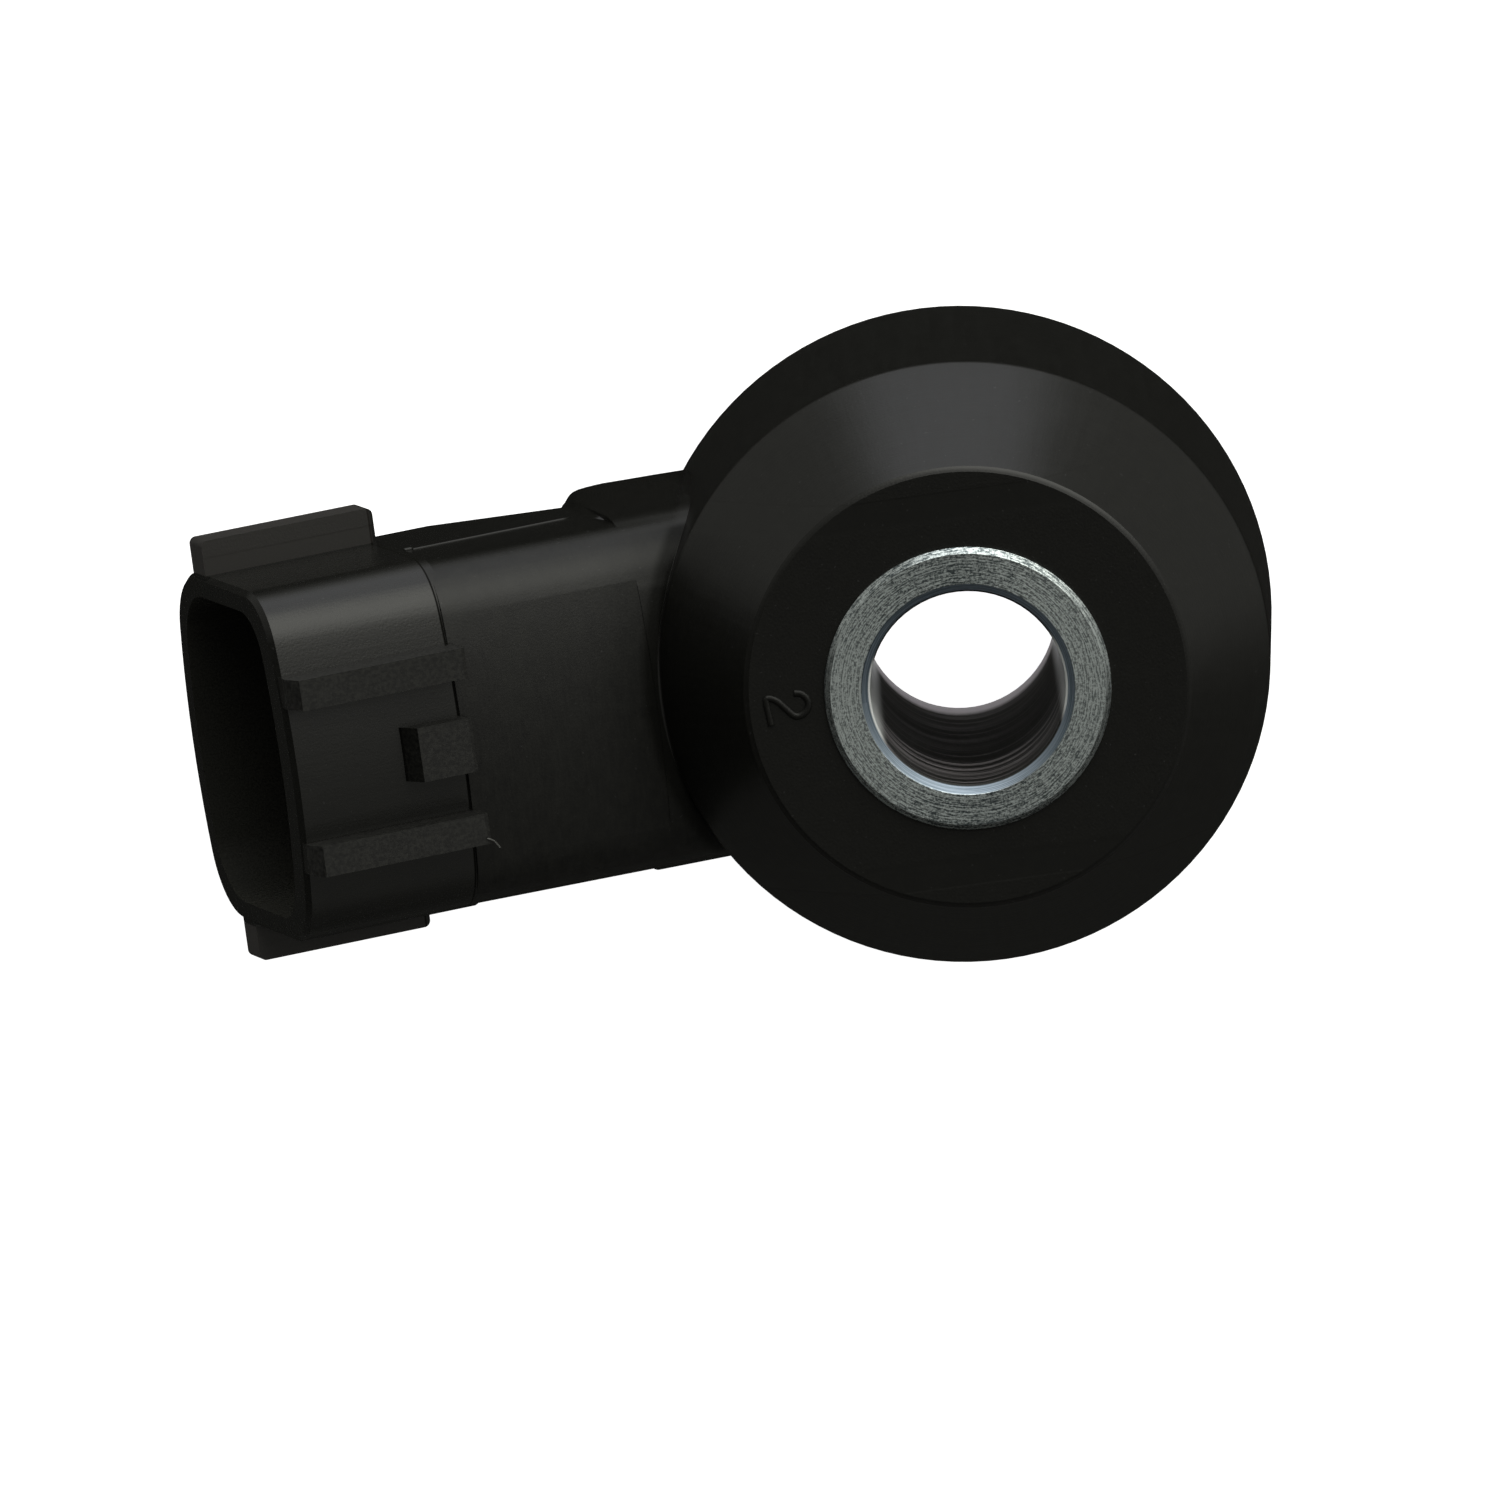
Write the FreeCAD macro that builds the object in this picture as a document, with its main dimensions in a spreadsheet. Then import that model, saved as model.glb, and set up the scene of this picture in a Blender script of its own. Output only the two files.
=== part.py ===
import FreeCAD, Part
import math
import os
import re
import Sketcher

# Engine knock sensor: a piezo ring sensor that one bolt clamps to the engine block.
# Millimetres. +Z runs up the bolt axis, and the origin is the centre of the mounting face.
# The plug points to -X and rises by plug_tilt. Its own frame has u out of the mouth,
# w across it (+Y) and t towards the bolt head, from a root on the round body's shoulder.

# Driving sizes: name, value in mm or degrees, what it is
SIZE_TABLE = [
    ("bolt_bore", 8.5, "bore of the steel sleeve, for an M8 bolt"),
    ("bore_chamfer", 0.4, "chamfer at both ends of the bore"),
    ("sleeve_wall", 1.97, "wall of the sleeve above its flange"),
    ("sleeve_edge_chamfer", 0.25, "outer chamfer of the sleeve's ends"),
    ("sleeve_proud", 0.43, "sleeve's end above the plastic face"),
    ("flange_diameter", 22.0, "mounting flange of the sleeve"),
    ("flange_thickness", 3.0, "height of that flange"),
    ("flange_groove_width", 1.0, "anchor groove round the flange"),
    ("flange_groove_depth", 0.45, "depth of that groove"),
    ("anchor_groove_width", 0.8, "anchor groove under the sleeve's end"),
    ("anchor_groove_depth", 0.3, "depth of that groove"),
    ("anchor_groove_drop", 1.0, "from the plastic face down to the middle of that groove"),
    ("stack_fit", 0.08, "slip fit of the stack's rings"),
    ("tube_wall", 0.4, "wall of the insulating tube"),
    ("washer_thickness", 0.2, "insulating washers"),
    ("contact_plate_thickness", 0.3, "contact plates and their tabs"),
    ("piezo_thickness", 3.2, "height of the piezo ring"),
    ("piezo_ring_width", 3.4, "radial width of the piezo ring"),
    ("mass_thickness", 4.8, "height of the seismic mass"),
    ("mass_ring_width", 3.9, "radial width of the seismic mass"),
    ("spring_rise", 0.6, "cone height of the disc spring"),
    ("spring_thickness", 0.7, "thickness of the disc spring"),
    ("spring_ring_width", 2.9, "radial width of the disc spring"),
    ("nut_thickness", 3.0, "height of the lock nut"),
    ("nut_ring_width", 2.7, "radial width of the lock nut"),
    ("nut_slot_width", 1.6, "wrench slots of the lock nut"),
    ("nut_slot_depth", 0.9, "depth of those slots"),
    ("rim_wall", 2.8, "plastic outside the flange"),
    ("rim_lift", 0.4, "plastic above the mounting face"),
    ("rim_draft", 0.47, "how far the rim draws in up to the shoulder"),
    ("rim_edge_chamfer", 0.3, "lower edge of the rim"),
    ("cone_drop", 6.07, "from the face down to the shoulder"),
    ("face_ring", 3.42, "flat plastic face round the sleeve"),
    ("edge_bevel", 0.14, "bevels round the plastic face and the shoulder"),
    ("roof_wall", 2.27, "plastic over the lock nut"),
    ("stack_gap", 0.25, "air round the stack in the housing"),
    ("plug_tilt", 20.0, "rise of the plug from the mounting plane"),
    ("plug_root_rise", 1.35, "plug axis above the lower contact plate, at the shoulder radius"),
    ("neck_length", 11.7, "from the root to the seam at the end of the neck"),
    ("neck_width", 15.44, "neck across its short sides"),
    ("parting_level", 0.8, "parting line of the neck above the plug's axis"),
    ("neck_top", 6.72, "top of the neck at the seam, above the plug's axis"),
    ("neck_rise", 3.0, "rise of the neck's top towards the round body, in degrees"),
    ("neck_corner_radius", 2.8, "upper corners of the neck"),
    ("neck_crown_radius", 26.0, "crown of the neck's top"),
    ("neck_floor_gap", 0.5, "underside of the neck above the rim's lower edge"),
    ("neck_floor_radius", 3.3, "lower corners of the neck"),
    ("collar_length", 2.8, "thicker collar where the neck leaves the round body"),
    ("collar_rise", 0.23, "how far the collar stands out on each side"),
    ("collar_top_rise", 0.04, "how far it stands out on top"),
    ("collar_corner_radius", 3.7, "upper corners of the collar"),
    ("collar_inset", 0.4, "how much further into the round body the collar starts"),
    ("shroud_length", 7.9, "from the seam to the mouth"),
    ("shroud_width", 15.64, "shroud across its short sides"),
    ("shroud_top", 6.6, "shroud above the plug's axis"),
    ("shroud_bottom", 7.05, "shroud below the plug's axis"),
    ("shroud_top_corner", 2.7, "upper corners of the shroud"),
    ("shroud_bottom_corner", 3.4, "lower corners of the shroud"),
    ("shroud_crown_radius", 26.0, "crown of the shroud's broad sides"),
    ("shroud_side_wall", 0.97, "wall at the short sides"),
    ("shroud_top_wall", 1.5, "wall under the locking tab"),
    ("shroud_bottom_wall", 1.1, "wall of the underside"),
    ("mouth_edge_bevel", 0.22, "outer edge of the mouth"),
    ("socket_depth", 11.0, "from the mouth to the socket's floor"),
    ("guide_rib_height", 1.6, "guide ribs at the short sides"),
    ("guide_rib_thickness", 1.6, "thickness of the guide ribs"),
    ("guide_rib_level", -2.65, "middle of the guide ribs from the plug's axis"),
    ("guide_rib_corner", 0.3, "rounded outer corners of the guide ribs"),
    ("side_rib_width", 1.36, "two ribs along the upper broad side"),
    ("side_rib_pitch", 7.38, "distance between those ribs"),
    ("side_rib_height", 1.45, "side ribs above the top of the shroud"),
    ("side_rib_front", 0.6, "upright part of their front end, above the top of the shroud"),
    ("side_rib_lead", 0.33, "length of their slanted front end"),
    ("rib_setback", 0.05, "all ribs behind the mouth"),
    ("rib_run_on", 0.15, "how far the ribs and the tab run on past the seam"),
    ("tab_width", 2.4, "locking tab"),
    ("tab_length", 2.35, "flat of the locking tab before the seam"),
    ("tab_ramp", 0.48, "ramp of the locking tab"),
    ("tab_height", 1.05, "locking tab above the shroud"),
    ("terminal_width", 2.8, "blade terminals"),
    ("terminal_thickness", 0.8, "thickness of the blades"),
    ("terminal_pitch", 5.0, "distance between the blades"),
    ("terminal_level", -0.5, "middle of the blades from the plug's axis"),
    ("blade_length", 8.4, "free blade in the socket"),
    ("blade_taper", 0.9, "length of the blade's tapered tip"),
    ("blade_tip_inset", 0.5, "how far the tip draws in on each side"),
    ("waist_depth", 0.4, "grip notches of the terminals in the carrier"),
    ("waist_length", 1.0, "length of those notches"),
    ("carrier_length", 2.3, "pre-moulded web that holds the terminals"),
    ("carrier_width", 11.0, "width of that web"),
    ("carrier_thickness", 3.4, "thickness of that web"),
    ("contact_tab_width", 2.0, "tabs of the contact plates"),
    ("contact_tab_root", 0.9, "how far a tab starts inside its plate"),
    ("weld_length", 1.9, "overlap of a tab and its terminal"),
    ("weld_gap", 0.35, "end of the tabs behind the chip"),
    ("riser_clearance", 0.5, "upper tab's riser outside the flange"),
    ("resistor_length", 3.2, "chip resistor across the terminals"),
    ("resistor_width", 1.6, "width of the chip"),
    ("resistor_height", 0.55, "height of the chip"),
    ("resistor_gap", 0.15, "chip behind the carrier"),
    ("solder_foot", 0.6, "solder fillets at the chip's ends"),
]
SIZES = {name: size for name, size, note in SIZE_TABLE}
NUT_SLOTS = 4
BODY_INSET = 3.0
CUT_MARGIN = 1.0

# Sizes and places that follow from the driving ones
DERIVED = {
    "bore_radius": "bolt_bore / 2",
    "sleeve_radius": "bore_radius + sleeve_wall",
    "flange_radius": "flange_diameter / 2",
    "tube_inner": "sleeve_radius + stack_fit",
    "tube_outer": "tube_inner + tube_wall",
    "piezo_inner": "tube_outer + stack_fit",
    "piezo_outer": "piezo_inner + piezo_ring_width",
    "mass_inner": "sleeve_radius + stack_fit",
    "mass_outer": "mass_inner + mass_ring_width",
    "spring_outer": "mass_inner + spring_ring_width",
    "nut_outer": "sleeve_radius + nut_ring_width",
    "lower_washer_top": "flange_thickness + washer_thickness",
    "lower_plate_top": "lower_washer_top + contact_plate_thickness",
    "piezo_top": "lower_plate_top + piezo_thickness",
    "upper_plate_top": "piezo_top + contact_plate_thickness",
    "upper_washer_top": "upper_plate_top + washer_thickness",
    "mass_top": "upper_washer_top + mass_thickness",
    "spring_top": "mass_top + spring_rise + spring_thickness",
    "nut_top": "spring_top + nut_thickness",
    "face_level": "nut_top + roof_wall",
    "sleeve_top": "face_level + sleeve_proud",
    "face_radius": "sleeve_radius + face_ring",
    "rim_radius": "flange_radius + rim_wall",
    "shoulder_radius": "rim_radius - rim_draft",
    "shoulder_level": "face_level - cone_drop",
    "rim_height": "shoulder_level - rim_lift",
    "cone_run": "shoulder_radius - face_radius",
    "plastic_inner": "bore_radius + sleeve_wall / 2",
    "tilt_sine": "sin(plug_tilt * 1 deg)",
    "tilt_cosine": "cos(plug_tilt * 1 deg)",
    "root_x": "-shoulder_radius",
    "root_z": "lower_plate_top + plug_root_rise",
    "seam_lean": "neck_top * sin(neck_rise * 1 deg)",
    "mouth": "neck_length + shroud_length",
    "socket_floor": "mouth - socket_depth",
    "carrier_back": "socket_floor - carrier_length",
    "blade_top": "terminal_level + terminal_thickness / 2",
    "blade_bottom": "terminal_level - terminal_thickness / 2",
    "blade_tip": "socket_floor + blade_length",
    "weld_end": "carrier_back - resistor_gap - resistor_width - weld_gap",
    "terminal_tail": "weld_end - weld_length",
    "inner_start": "shoulder_radius - body_inset",
}


def formula(text):
    """The text as an expression, with each size name bound to its cell of the sheet."""
    def swap(match):
        word = match.group(0)
        if word in DERIVED:
            return "(" + formula(DERIVED[word]) + ")"
        if word in SIZES:
            return "Sizes." + word
        return {"body_inset": str(BODY_INSET), "cut_margin": str(CUT_MARGIN)}.get(word, word)
    return re.sub(r"[a-z_]+", swap, text)


doc = FreeCAD.newDocument("KnockSensor")
sheet = doc.addObject("Spreadsheet::Sheet", "Sizes")
for row, (size_name, size_value, size_note) in enumerate(SIZE_TABLE, start=1):
    sheet.set(f"A{row}", size_name)
    sheet.set(f"B{row}", str(size_value))
    sheet.set(f"C{row}", size_note)
    sheet.setAlias(f"B{row}", size_name)
doc.recompute()


def number(text):
    """What an expression comes to with the sheet's sizes."""
    result = sheet.evalExpression(formula(text))
    return float(getattr(result, "Value", result))


def bind(target, field, text):
    target.setExpression(field, formula(text))


# Sketches and features

def new_body(label):
    body = doc.addObject("PartDesign::Body", label)
    body.Label = label
    return body


def new_sketch(body, name, role, place=None, axis=None, angle="plug_tilt"):
    """A sketch on one of the body's origin planes, shifted and turned by bound values."""
    sketch = body.newObject("Sketcher::SketchObject", name)
    plane = [item for item in body.Origin.OriginFeatures if item.Role == role][0]
    sketch.AttachmentSupport = [(plane, "")]
    sketch.MapMode = "FlatFace"
    if axis:
        turned = FreeCAD.Rotation(FreeCAD.Vector(*axis), number(angle))
        sketch.AttachmentOffset = FreeCAD.Placement(FreeCAD.Vector(), turned)
        bind(sketch, "AttachmentOffset.Rotation.Angle", angle)
    if place:
        for letter, text in zip("xyz", place):
            bind(sketch, f"AttachmentOffset.Base.{letter}", text)
    return sketch


def station_sketch(body, name, u, angle="plug_tilt"):
    """Across the plug at u: its x is w and its y is t, and it faces the round body."""
    place = ("0", f"root_z + ({u}) * tilt_sine", f"root_x - ({u}) * tilt_cosine")
    return new_sketch(body, name, "YZ_Plane", place, (1, 0, 0), angle)


def side_sketch(body, name, w="0"):
    """Along the plug at w: its x is -u and its y is t."""
    return new_sketch(body, name, "XZ_Plane", ("root_x", "root_z", f"-({w})"), (0, 0, -1))


def deck_sketch(body, name, t):
    """Level with the plug's axis at t: its x is -u and its y is w."""
    place = (f"root_x + ({t}) * tilt_sine", "0", f"root_z + ({t}) * tilt_cosine")
    return new_sketch(body, name, "XY_Plane", place, (0, 1, 0))


def pin(sketch, geometry, position, x, y):
    """Hold one point of the sketch at bound coordinates."""
    for kind, axis, text in (("DistanceX", -2, x), ("DistanceY", -1, y)):
        if abs(number(text)) < 1e-9:
            sketch.addConstraint(Sketcher.Constraint("PointOnObject", geometry, position, axis))
            continue
        held = Sketcher.Constraint(kind, -1, 1, geometry, position, number(text))
        bind(sketch, f"Constraints[{sketch.addConstraint(held)}]", text)


def arc(centre, radius, start, end):
    circle = Part.Circle(FreeCAD.Vector(*centre, 0), FreeCAD.Vector(0, 0, 1), radius)
    return Part.ArcOfCircle(circle, start, end)


def corner_arc(before, corner, after, radius):
    """The arc that rounds a corner, and its ends on the two lines."""
    back = (before - corner).normalize()
    onward = (after - corner).normalize()
    half_angle = back.getAngle(onward) / 2
    first = corner + back * (radius / math.tan(half_angle))
    last = corner + onward * (radius / math.tan(half_angle))
    centre = corner + (back + onward).normalize() * (radius / math.sin(half_angle))
    ends = [math.atan2(point.y - centre.y, point.x - centre.x) for point in (first, last)]
    turns_left = (-back).cross(onward).z > 0
    start, end = ends if turns_left else reversed(ends)
    if end < start:
        end += 2 * math.pi
    return arc((centre.x, centre.y), radius, start, end), first, last, turns_left


def polygon(sketch, points):
    """A closed outline of straight lines through bound points, with corners rounded
    where a point names a radius."""
    corners = [FreeCAD.Vector(number(point[0]), number(point[1]), 0) for point in points]
    count = len(corners)
    arcs = {}
    for index, point in enumerate(points):
        if len(point) == 3:
            arcs[index] = corner_arc(corners[index - 1], corners[index], corners[(index + 1) % count],
                                     number(point[2]))
    for index in range(count):
        onward = (index + 1) % count
        start = arcs[index][2] if index in arcs else corners[index]
        end = arcs[onward][1] if onward in arcs else corners[onward]
        sketch.addGeometry(Part.LineSegment(start, end), False)
    for index, point in enumerate(points):
        line_in, line_out = (index - 1) % count, index
        if index not in arcs:
            sketch.addConstraint(Sketcher.Constraint("Coincident", line_in, 2, line_out, 1))
            pin(sketch, line_out, 1, point[0], point[1])
            continue
        round_corner(sketch, line_in, line_out, arcs[index], corners[index], point)


def round_corner(sketch, line_in, line_out, rounding, corner, point):
    """Add one corner's arc, tangent to its two lines, which both aim at the corner."""
    shape, first, last, turns_left = rounding
    bend = sketch.addGeometry(shape, False)
    mark = sketch.addGeometry(Part.Point(corner), True)
    first_end, last_end = (1, 2) if turns_left else (2, 1)
    sketch.addConstraint(Sketcher.Constraint("Tangent", line_in, 2, bend, first_end))
    sketch.addConstraint(Sketcher.Constraint("Tangent", bend, last_end, line_out, 1))
    sketch.addConstraint(Sketcher.Constraint("PointOnObject", mark, 1, line_in))
    sketch.addConstraint(Sketcher.Constraint("PointOnObject", mark, 1, line_out))
    pin(sketch, mark, 1, point[0], point[1])
    held = sketch.addConstraint(Sketcher.Constraint("Radius", bend, number(point[2])))
    bind(sketch, f"Constraints[{held}]", point[2])


def crown_geometry(half, top, corner, crown, sign):
    """Where a crowned side's corner arcs and crown arc meet."""
    centre_y = top - crown
    corner_y = centre_y + math.sqrt((crown - corner) ** 2 - (half - corner) ** 2)
    angle = math.atan2(corner_y - centre_y, half - corner)
    return sign * centre_y, sign * corner_y, angle


def crowned_outline(sketch, half_width, upper, lower=None):
    """Straight short sides, rounded corners and crowned broad sides.

    upper and lower are (height, corner radius, crown radius). With no lower side
    the outline is closed by a straight line a little under the plug's axis.
    """
    half = number(half_width)
    top, corner, crown = (number(text) for text in upper)
    centre_y, corner_y, angle = crown_geometry(half, top, corner, crown, 1)
    if lower:
        depth, low_corner, low_crown = (number(text) for text in lower)
        low_centre_y, low_corner_y, low_angle = crown_geometry(half, depth, low_corner, low_crown, -1)
    else:
        low_corner_y = -CUT_MARGIN
    vector = FreeCAD.Vector
    outline = [
        Part.LineSegment(vector(half, low_corner_y, 0), vector(half, corner_y, 0)),
        arc((half - corner, corner_y), corner, 0, angle),
        arc((0, centre_y), crown, angle, math.pi - angle),
        arc((corner - half, corner_y), corner, math.pi - angle, math.pi),
        Part.LineSegment(vector(-half, corner_y, 0), vector(-half, low_corner_y, 0)),
    ]
    if lower:
        full = 2 * math.pi
        outline += [
            arc((low_corner - half, low_corner_y), low_corner, math.pi, math.pi + low_angle),
            arc((0, low_centre_y), low_crown, math.pi + low_angle, full - low_angle),
            arc((half - low_corner, low_corner_y), low_corner, full - low_angle, full),
        ]
    else:
        outline.append(Part.LineSegment(vector(-half, low_corner_y, 0), vector(half, low_corner_y, 0)))
    for item in outline:
        sketch.addGeometry(item, False)
    count = len(outline)
    smooth = count if lower else 4
    for index in range(count):
        kind = "Tangent" if index < smooth else "Coincident"
        sketch.addConstraint(Sketcher.Constraint(kind, index, 2, (index + 1) % count, 1))
    sketch.addConstraint(Sketcher.Constraint("Vertical", 0))
    sketch.addConstraint(Sketcher.Constraint("Vertical", 4))
    held_sizes = [
        ("DistanceX", (-1, 1, 0, 1), half_width),
        ("DistanceX", (-1, 1, 4, 1), f"-({half_width})"),
        ("Radius", (1,), upper[1]),
        ("Radius", (2,), upper[2]),
        ("Radius", (3,), upper[1]),
        ("DistanceY", (-1, 1, 2, 3), f"({upper[0]}) - ({upper[2]})"),
    ]
    sketch.addConstraint(Sketcher.Constraint("PointOnObject", 2, 3, -2))
    if lower:
        sketch.addConstraint(Sketcher.Constraint("PointOnObject", 6, 3, -2))
        held_sizes += [
            ("Radius", (5,), lower[1]),
            ("Radius", (6,), lower[2]),
            ("Radius", (7,), lower[1]),
            ("DistanceY", (-1, 1, 6, 3), f"({lower[2]}) - ({lower[0]})"),
        ]
    else:
        sketch.addConstraint(Sketcher.Constraint("Horizontal", 5))
        held_sizes.append(("DistanceY", (-1, 1, 5, 1), "-cut_margin"))
    for kind, where, text in held_sizes:
        index = sketch.addConstraint(Sketcher.Constraint(kind, *where, number(text)))
        bind(sketch, f"Constraints[{index}]", text)


def feature(body, kind, name, sketch):
    made = body.newObject(f"PartDesign::{kind}", name)
    made.Profile = sketch
    sketch.Visibility = False
    return made


def turn(body, kind, name, points):
    """Revolve a closed outline of (radius, height) points about the bolt axis."""
    sketch = new_sketch(body, f"{name}Sketch", "XZ_Plane")
    polygon(sketch, points)
    made = feature(body, kind, name, sketch)
    made.ReferenceAxis = (sketch, ["V_Axis"])
    made.Angle = 360
    doc.recompute()
    return made


def extrude(body, kind, name, sketch, length, both_ways=False, backwards=False):
    made = feature(body, kind, name, sketch)
    if both_ways:
        made.SideType = "Symmetric"
    made.Reversed = backwards
    bind(made, "Length", length)
    doc.recompute()
    return made


def dress(body, kind, name, base, size, chosen):
    """Round or chamfer the edges of the last feature that the test picks."""
    names = [f"Edge{place}" for place, edge in enumerate(base.Shape.Edges, start=1) if chosen(edge)]
    if not names:
        raise ValueError(f"{name} finds no edge")
    made = body.newObject(f"PartDesign::{kind}", name)
    made.Base = (base, names)
    bind(made, "Radius" if kind == "Fillet" else "Size", size)
    doc.recompute()
    return made


def plug_coordinates(point):
    """u, w and t of a point."""
    tilt = math.radians(SIZES["plug_tilt"])
    x = point.x - number("root_x")
    z = point.z - number("root_z")
    return -x * math.cos(tilt) + z * math.sin(tilt), point.y, x * math.sin(tilt) + z * math.cos(tilt)


def edge_in_plane(edge, axis, place):
    """Whether both ends and the middle of an edge lie at that u, w or t (axis 0, 1 or 2)."""
    ends = [vertex.Point for vertex in edge.Vertexes]
    ends.append(edge.valueAt((edge.FirstParameter + edge.LastParameter) / 2))
    return all(abs(plug_coordinates(point)[axis] - place) < 1e-4 for point in ends)


def ring(label, inner, outer, low, high):
    """A flat ring about the bolt axis."""
    body = new_body(label)
    turn(body, "Revolution", f"{label}_ring", [(inner, low), (outer, low), (outer, high), (inner, high)])
    return body


# Places on the plug where a side view's lines cross, as (x, z) expressions

def at(u, t):
    """The point at u and t of the plug's middle plane."""
    return (f"root_x - ({u}) * tilt_cosine + ({t}) * tilt_sine",
            f"root_z + ({u}) * tilt_sine + ({t}) * tilt_cosine")


def level_meets(z, t):
    """Where the height z meets the line at t."""
    return at(f"(({z}) - root_z - ({t}) * tilt_cosine) / tilt_sine", t)


def upright_meets(x, t):
    """Where the upright at x meets the line at t."""
    return at(f"(root_x - ({x}) + ({t}) * tilt_sine) / tilt_cosine", t)


# Pressure sleeve: flange, bolt bore and anchor grooves

def make_sleeve():
    body = new_body("pressure_sleeve")
    groove_low = "(flange_thickness - flange_groove_width) / 2"
    groove_high = "(flange_thickness + flange_groove_width) / 2"
    points = [
        ("bore_radius + bore_chamfer", "0"),
        ("flange_radius - sleeve_edge_chamfer", "0"),
        ("flange_radius", "sleeve_edge_chamfer"),
        ("flange_radius", groove_low),
        ("flange_radius - flange_groove_depth", "flange_thickness / 2"),
        ("flange_radius", groove_high),
        ("flange_radius", "flange_thickness"),
        ("sleeve_radius", "flange_thickness"),
    ]
    groove = "face_level - anchor_groove_drop"
    points += [
        ("sleeve_radius", f"{groove} - anchor_groove_width / 2"),
        ("sleeve_radius - anchor_groove_depth", groove),
        ("sleeve_radius", f"{groove} + anchor_groove_width / 2"),
        ("sleeve_radius", "sleeve_top - sleeve_edge_chamfer"),
        ("sleeve_radius - sleeve_edge_chamfer", "sleeve_top"),
        ("bore_radius + bore_chamfer", "sleeve_top"),
        ("bore_radius", "sleeve_top - bore_chamfer"),
        ("bore_radius", "bore_chamfer"),
    ]
    turn(body, "Revolution", "SleeveTurned", points)
    return body


# Stack: tube, washers, contact plates, ceramic, mass, spring and nut

def make_contact_plate(label, low, high, side, tab_points):
    """A stamped ring with a tab that is bent to lie on its terminal."""
    body = ring(label, "piezo_inner", "piezo_outer", low, high)
    sketch = new_sketch(body, f"{label}_tab_sketch", "XZ_Plane", ("0", "0", f"-({side})"))
    polygon(sketch, tab_points)
    extrude(body, "Pad", f"{label}_tab", sketch, "contact_tab_width", both_ways=True)
    return body


def make_lower_plate():
    low, high = "lower_washer_top", "lower_plate_top"
    under = "blade_bottom - contact_plate_thickness"
    start = "contact_tab_root - piezo_outer"
    points = [(start, low), level_meets(low, under), at("weld_end", under),
              at("weld_end", "blade_bottom"), level_meets(high, "blade_bottom"), (start, high)]
    return make_contact_plate("lower_contact_plate", low, high, "-terminal_pitch / 2", points)


def make_upper_plate():
    low, high = "piezo_top", "upper_plate_top"
    over = "blade_top + contact_plate_thickness"
    start = "contact_tab_root - piezo_outer"
    inner = "-(flange_radius + riser_clearance)"
    outer = f"{inner} - contact_plate_thickness"
    points = [(start, high), (outer, high), upright_meets(outer, over), at("weld_end", over),
              at("weld_end", "blade_top"), upright_meets(inner, "blade_top"), (inner, low), (start, low)]
    return make_contact_plate("upper_contact_plate", low, high, "terminal_pitch / 2", points)


def make_spring():
    body = new_body("disc_spring")
    turn(body, "Revolution", "SpringCone", [
        ("mass_inner", "mass_top + spring_rise"),
        ("spring_outer", "mass_top"),
        ("spring_outer", "mass_top + spring_thickness"),
        ("mass_inner", "spring_top"),
    ])
    return body


def make_nut():
    body = ring("lock_nut", "sleeve_radius", "nut_outer", "spring_top", "nut_top")
    sketch = new_sketch(body, "NutSlotSketch", "XY_Plane", ("0", "0", "nut_top"))
    near, far = "nut_outer - nut_slot_depth", "nut_outer + cut_margin"
    half = "nut_slot_width / 2"
    polygon(sketch, [(near, f"-{half}"), (far, f"-{half}"), (far, half), (near, half)])
    slot = extrude(body, "Pocket", "NutSlot", sketch, "nut_thickness")
    pattern = body.newObject("PartDesign::PolarPattern", "NutSlots")
    pattern.Originals = [slot]
    pattern.Axis = (sketch, ["N_Axis"])
    pattern.Angle = 360
    pattern.Occurrences = NUT_SLOTS
    body.Tip = pattern
    doc.recompute()
    return body


# Terminals, their carrier and the shunt resistor

def make_terminal(label, side):
    """A stamped blade: welded tail, gripped waist and tapered tip."""
    body = new_body(label)
    sketch = deck_sketch(body, f"{label}_outline", "terminal_level")
    middle = f"{side} * terminal_pitch / 2"
    wide, waist, tip = (f"terminal_width / 2 - {inset}" for inset in ("0", "waist_depth", "blade_tip_inset"))
    waist_back = "socket_floor - (carrier_length + waist_length) / 2"
    waist_front = "socket_floor - (carrier_length - waist_length) / 2"
    edge = [("terminal_tail", wide), (waist_back, wide), (waist_back, waist), (waist_front, waist),
            (waist_front, wide), ("blade_tip - blade_taper", wide), ("blade_tip", tip)]
    points = [(f"-({u})", f"{middle} - ({half})") for u, half in edge]
    points += [(f"-({u})", f"{middle} + ({half})") for u, half in reversed(edge)]
    polygon(sketch, points)
    blade = extrude(body, "Pad", f"{label}_blade", sketch, "terminal_thickness", both_ways=True)
    tip_place = number("blade_tip")
    half_thick = number("terminal_thickness") / 2

    def at_tip(edge):
        level = abs(plug_coordinates(edge.CenterOfMass)[2] - number("terminal_level"))
        return edge_in_plane(edge, 0, tip_place) and abs(level - half_thick) < 1e-4
    dress(body, "Chamfer", f"{label}_tip", blade, "terminal_thickness / 4", at_tip)
    return body


def make_carrier(terminals):
    """The pre-moulded web, moulded round both terminals."""
    body = new_body("carrier_block")
    sketch = station_sketch(body, "CarrierSketch", "socket_floor")
    half, high = "carrier_width / 2", "terminal_level + carrier_thickness / 2"
    low = "terminal_level - carrier_thickness / 2"
    polygon(sketch, [(f"-{half}", low), (half, low), (half, high), (f"-{half}", high)])
    extrude(body, "Pad", "CarrierPad", sketch, "carrier_length")
    return cut_out("terminal_carrier", body, terminals)


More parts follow.
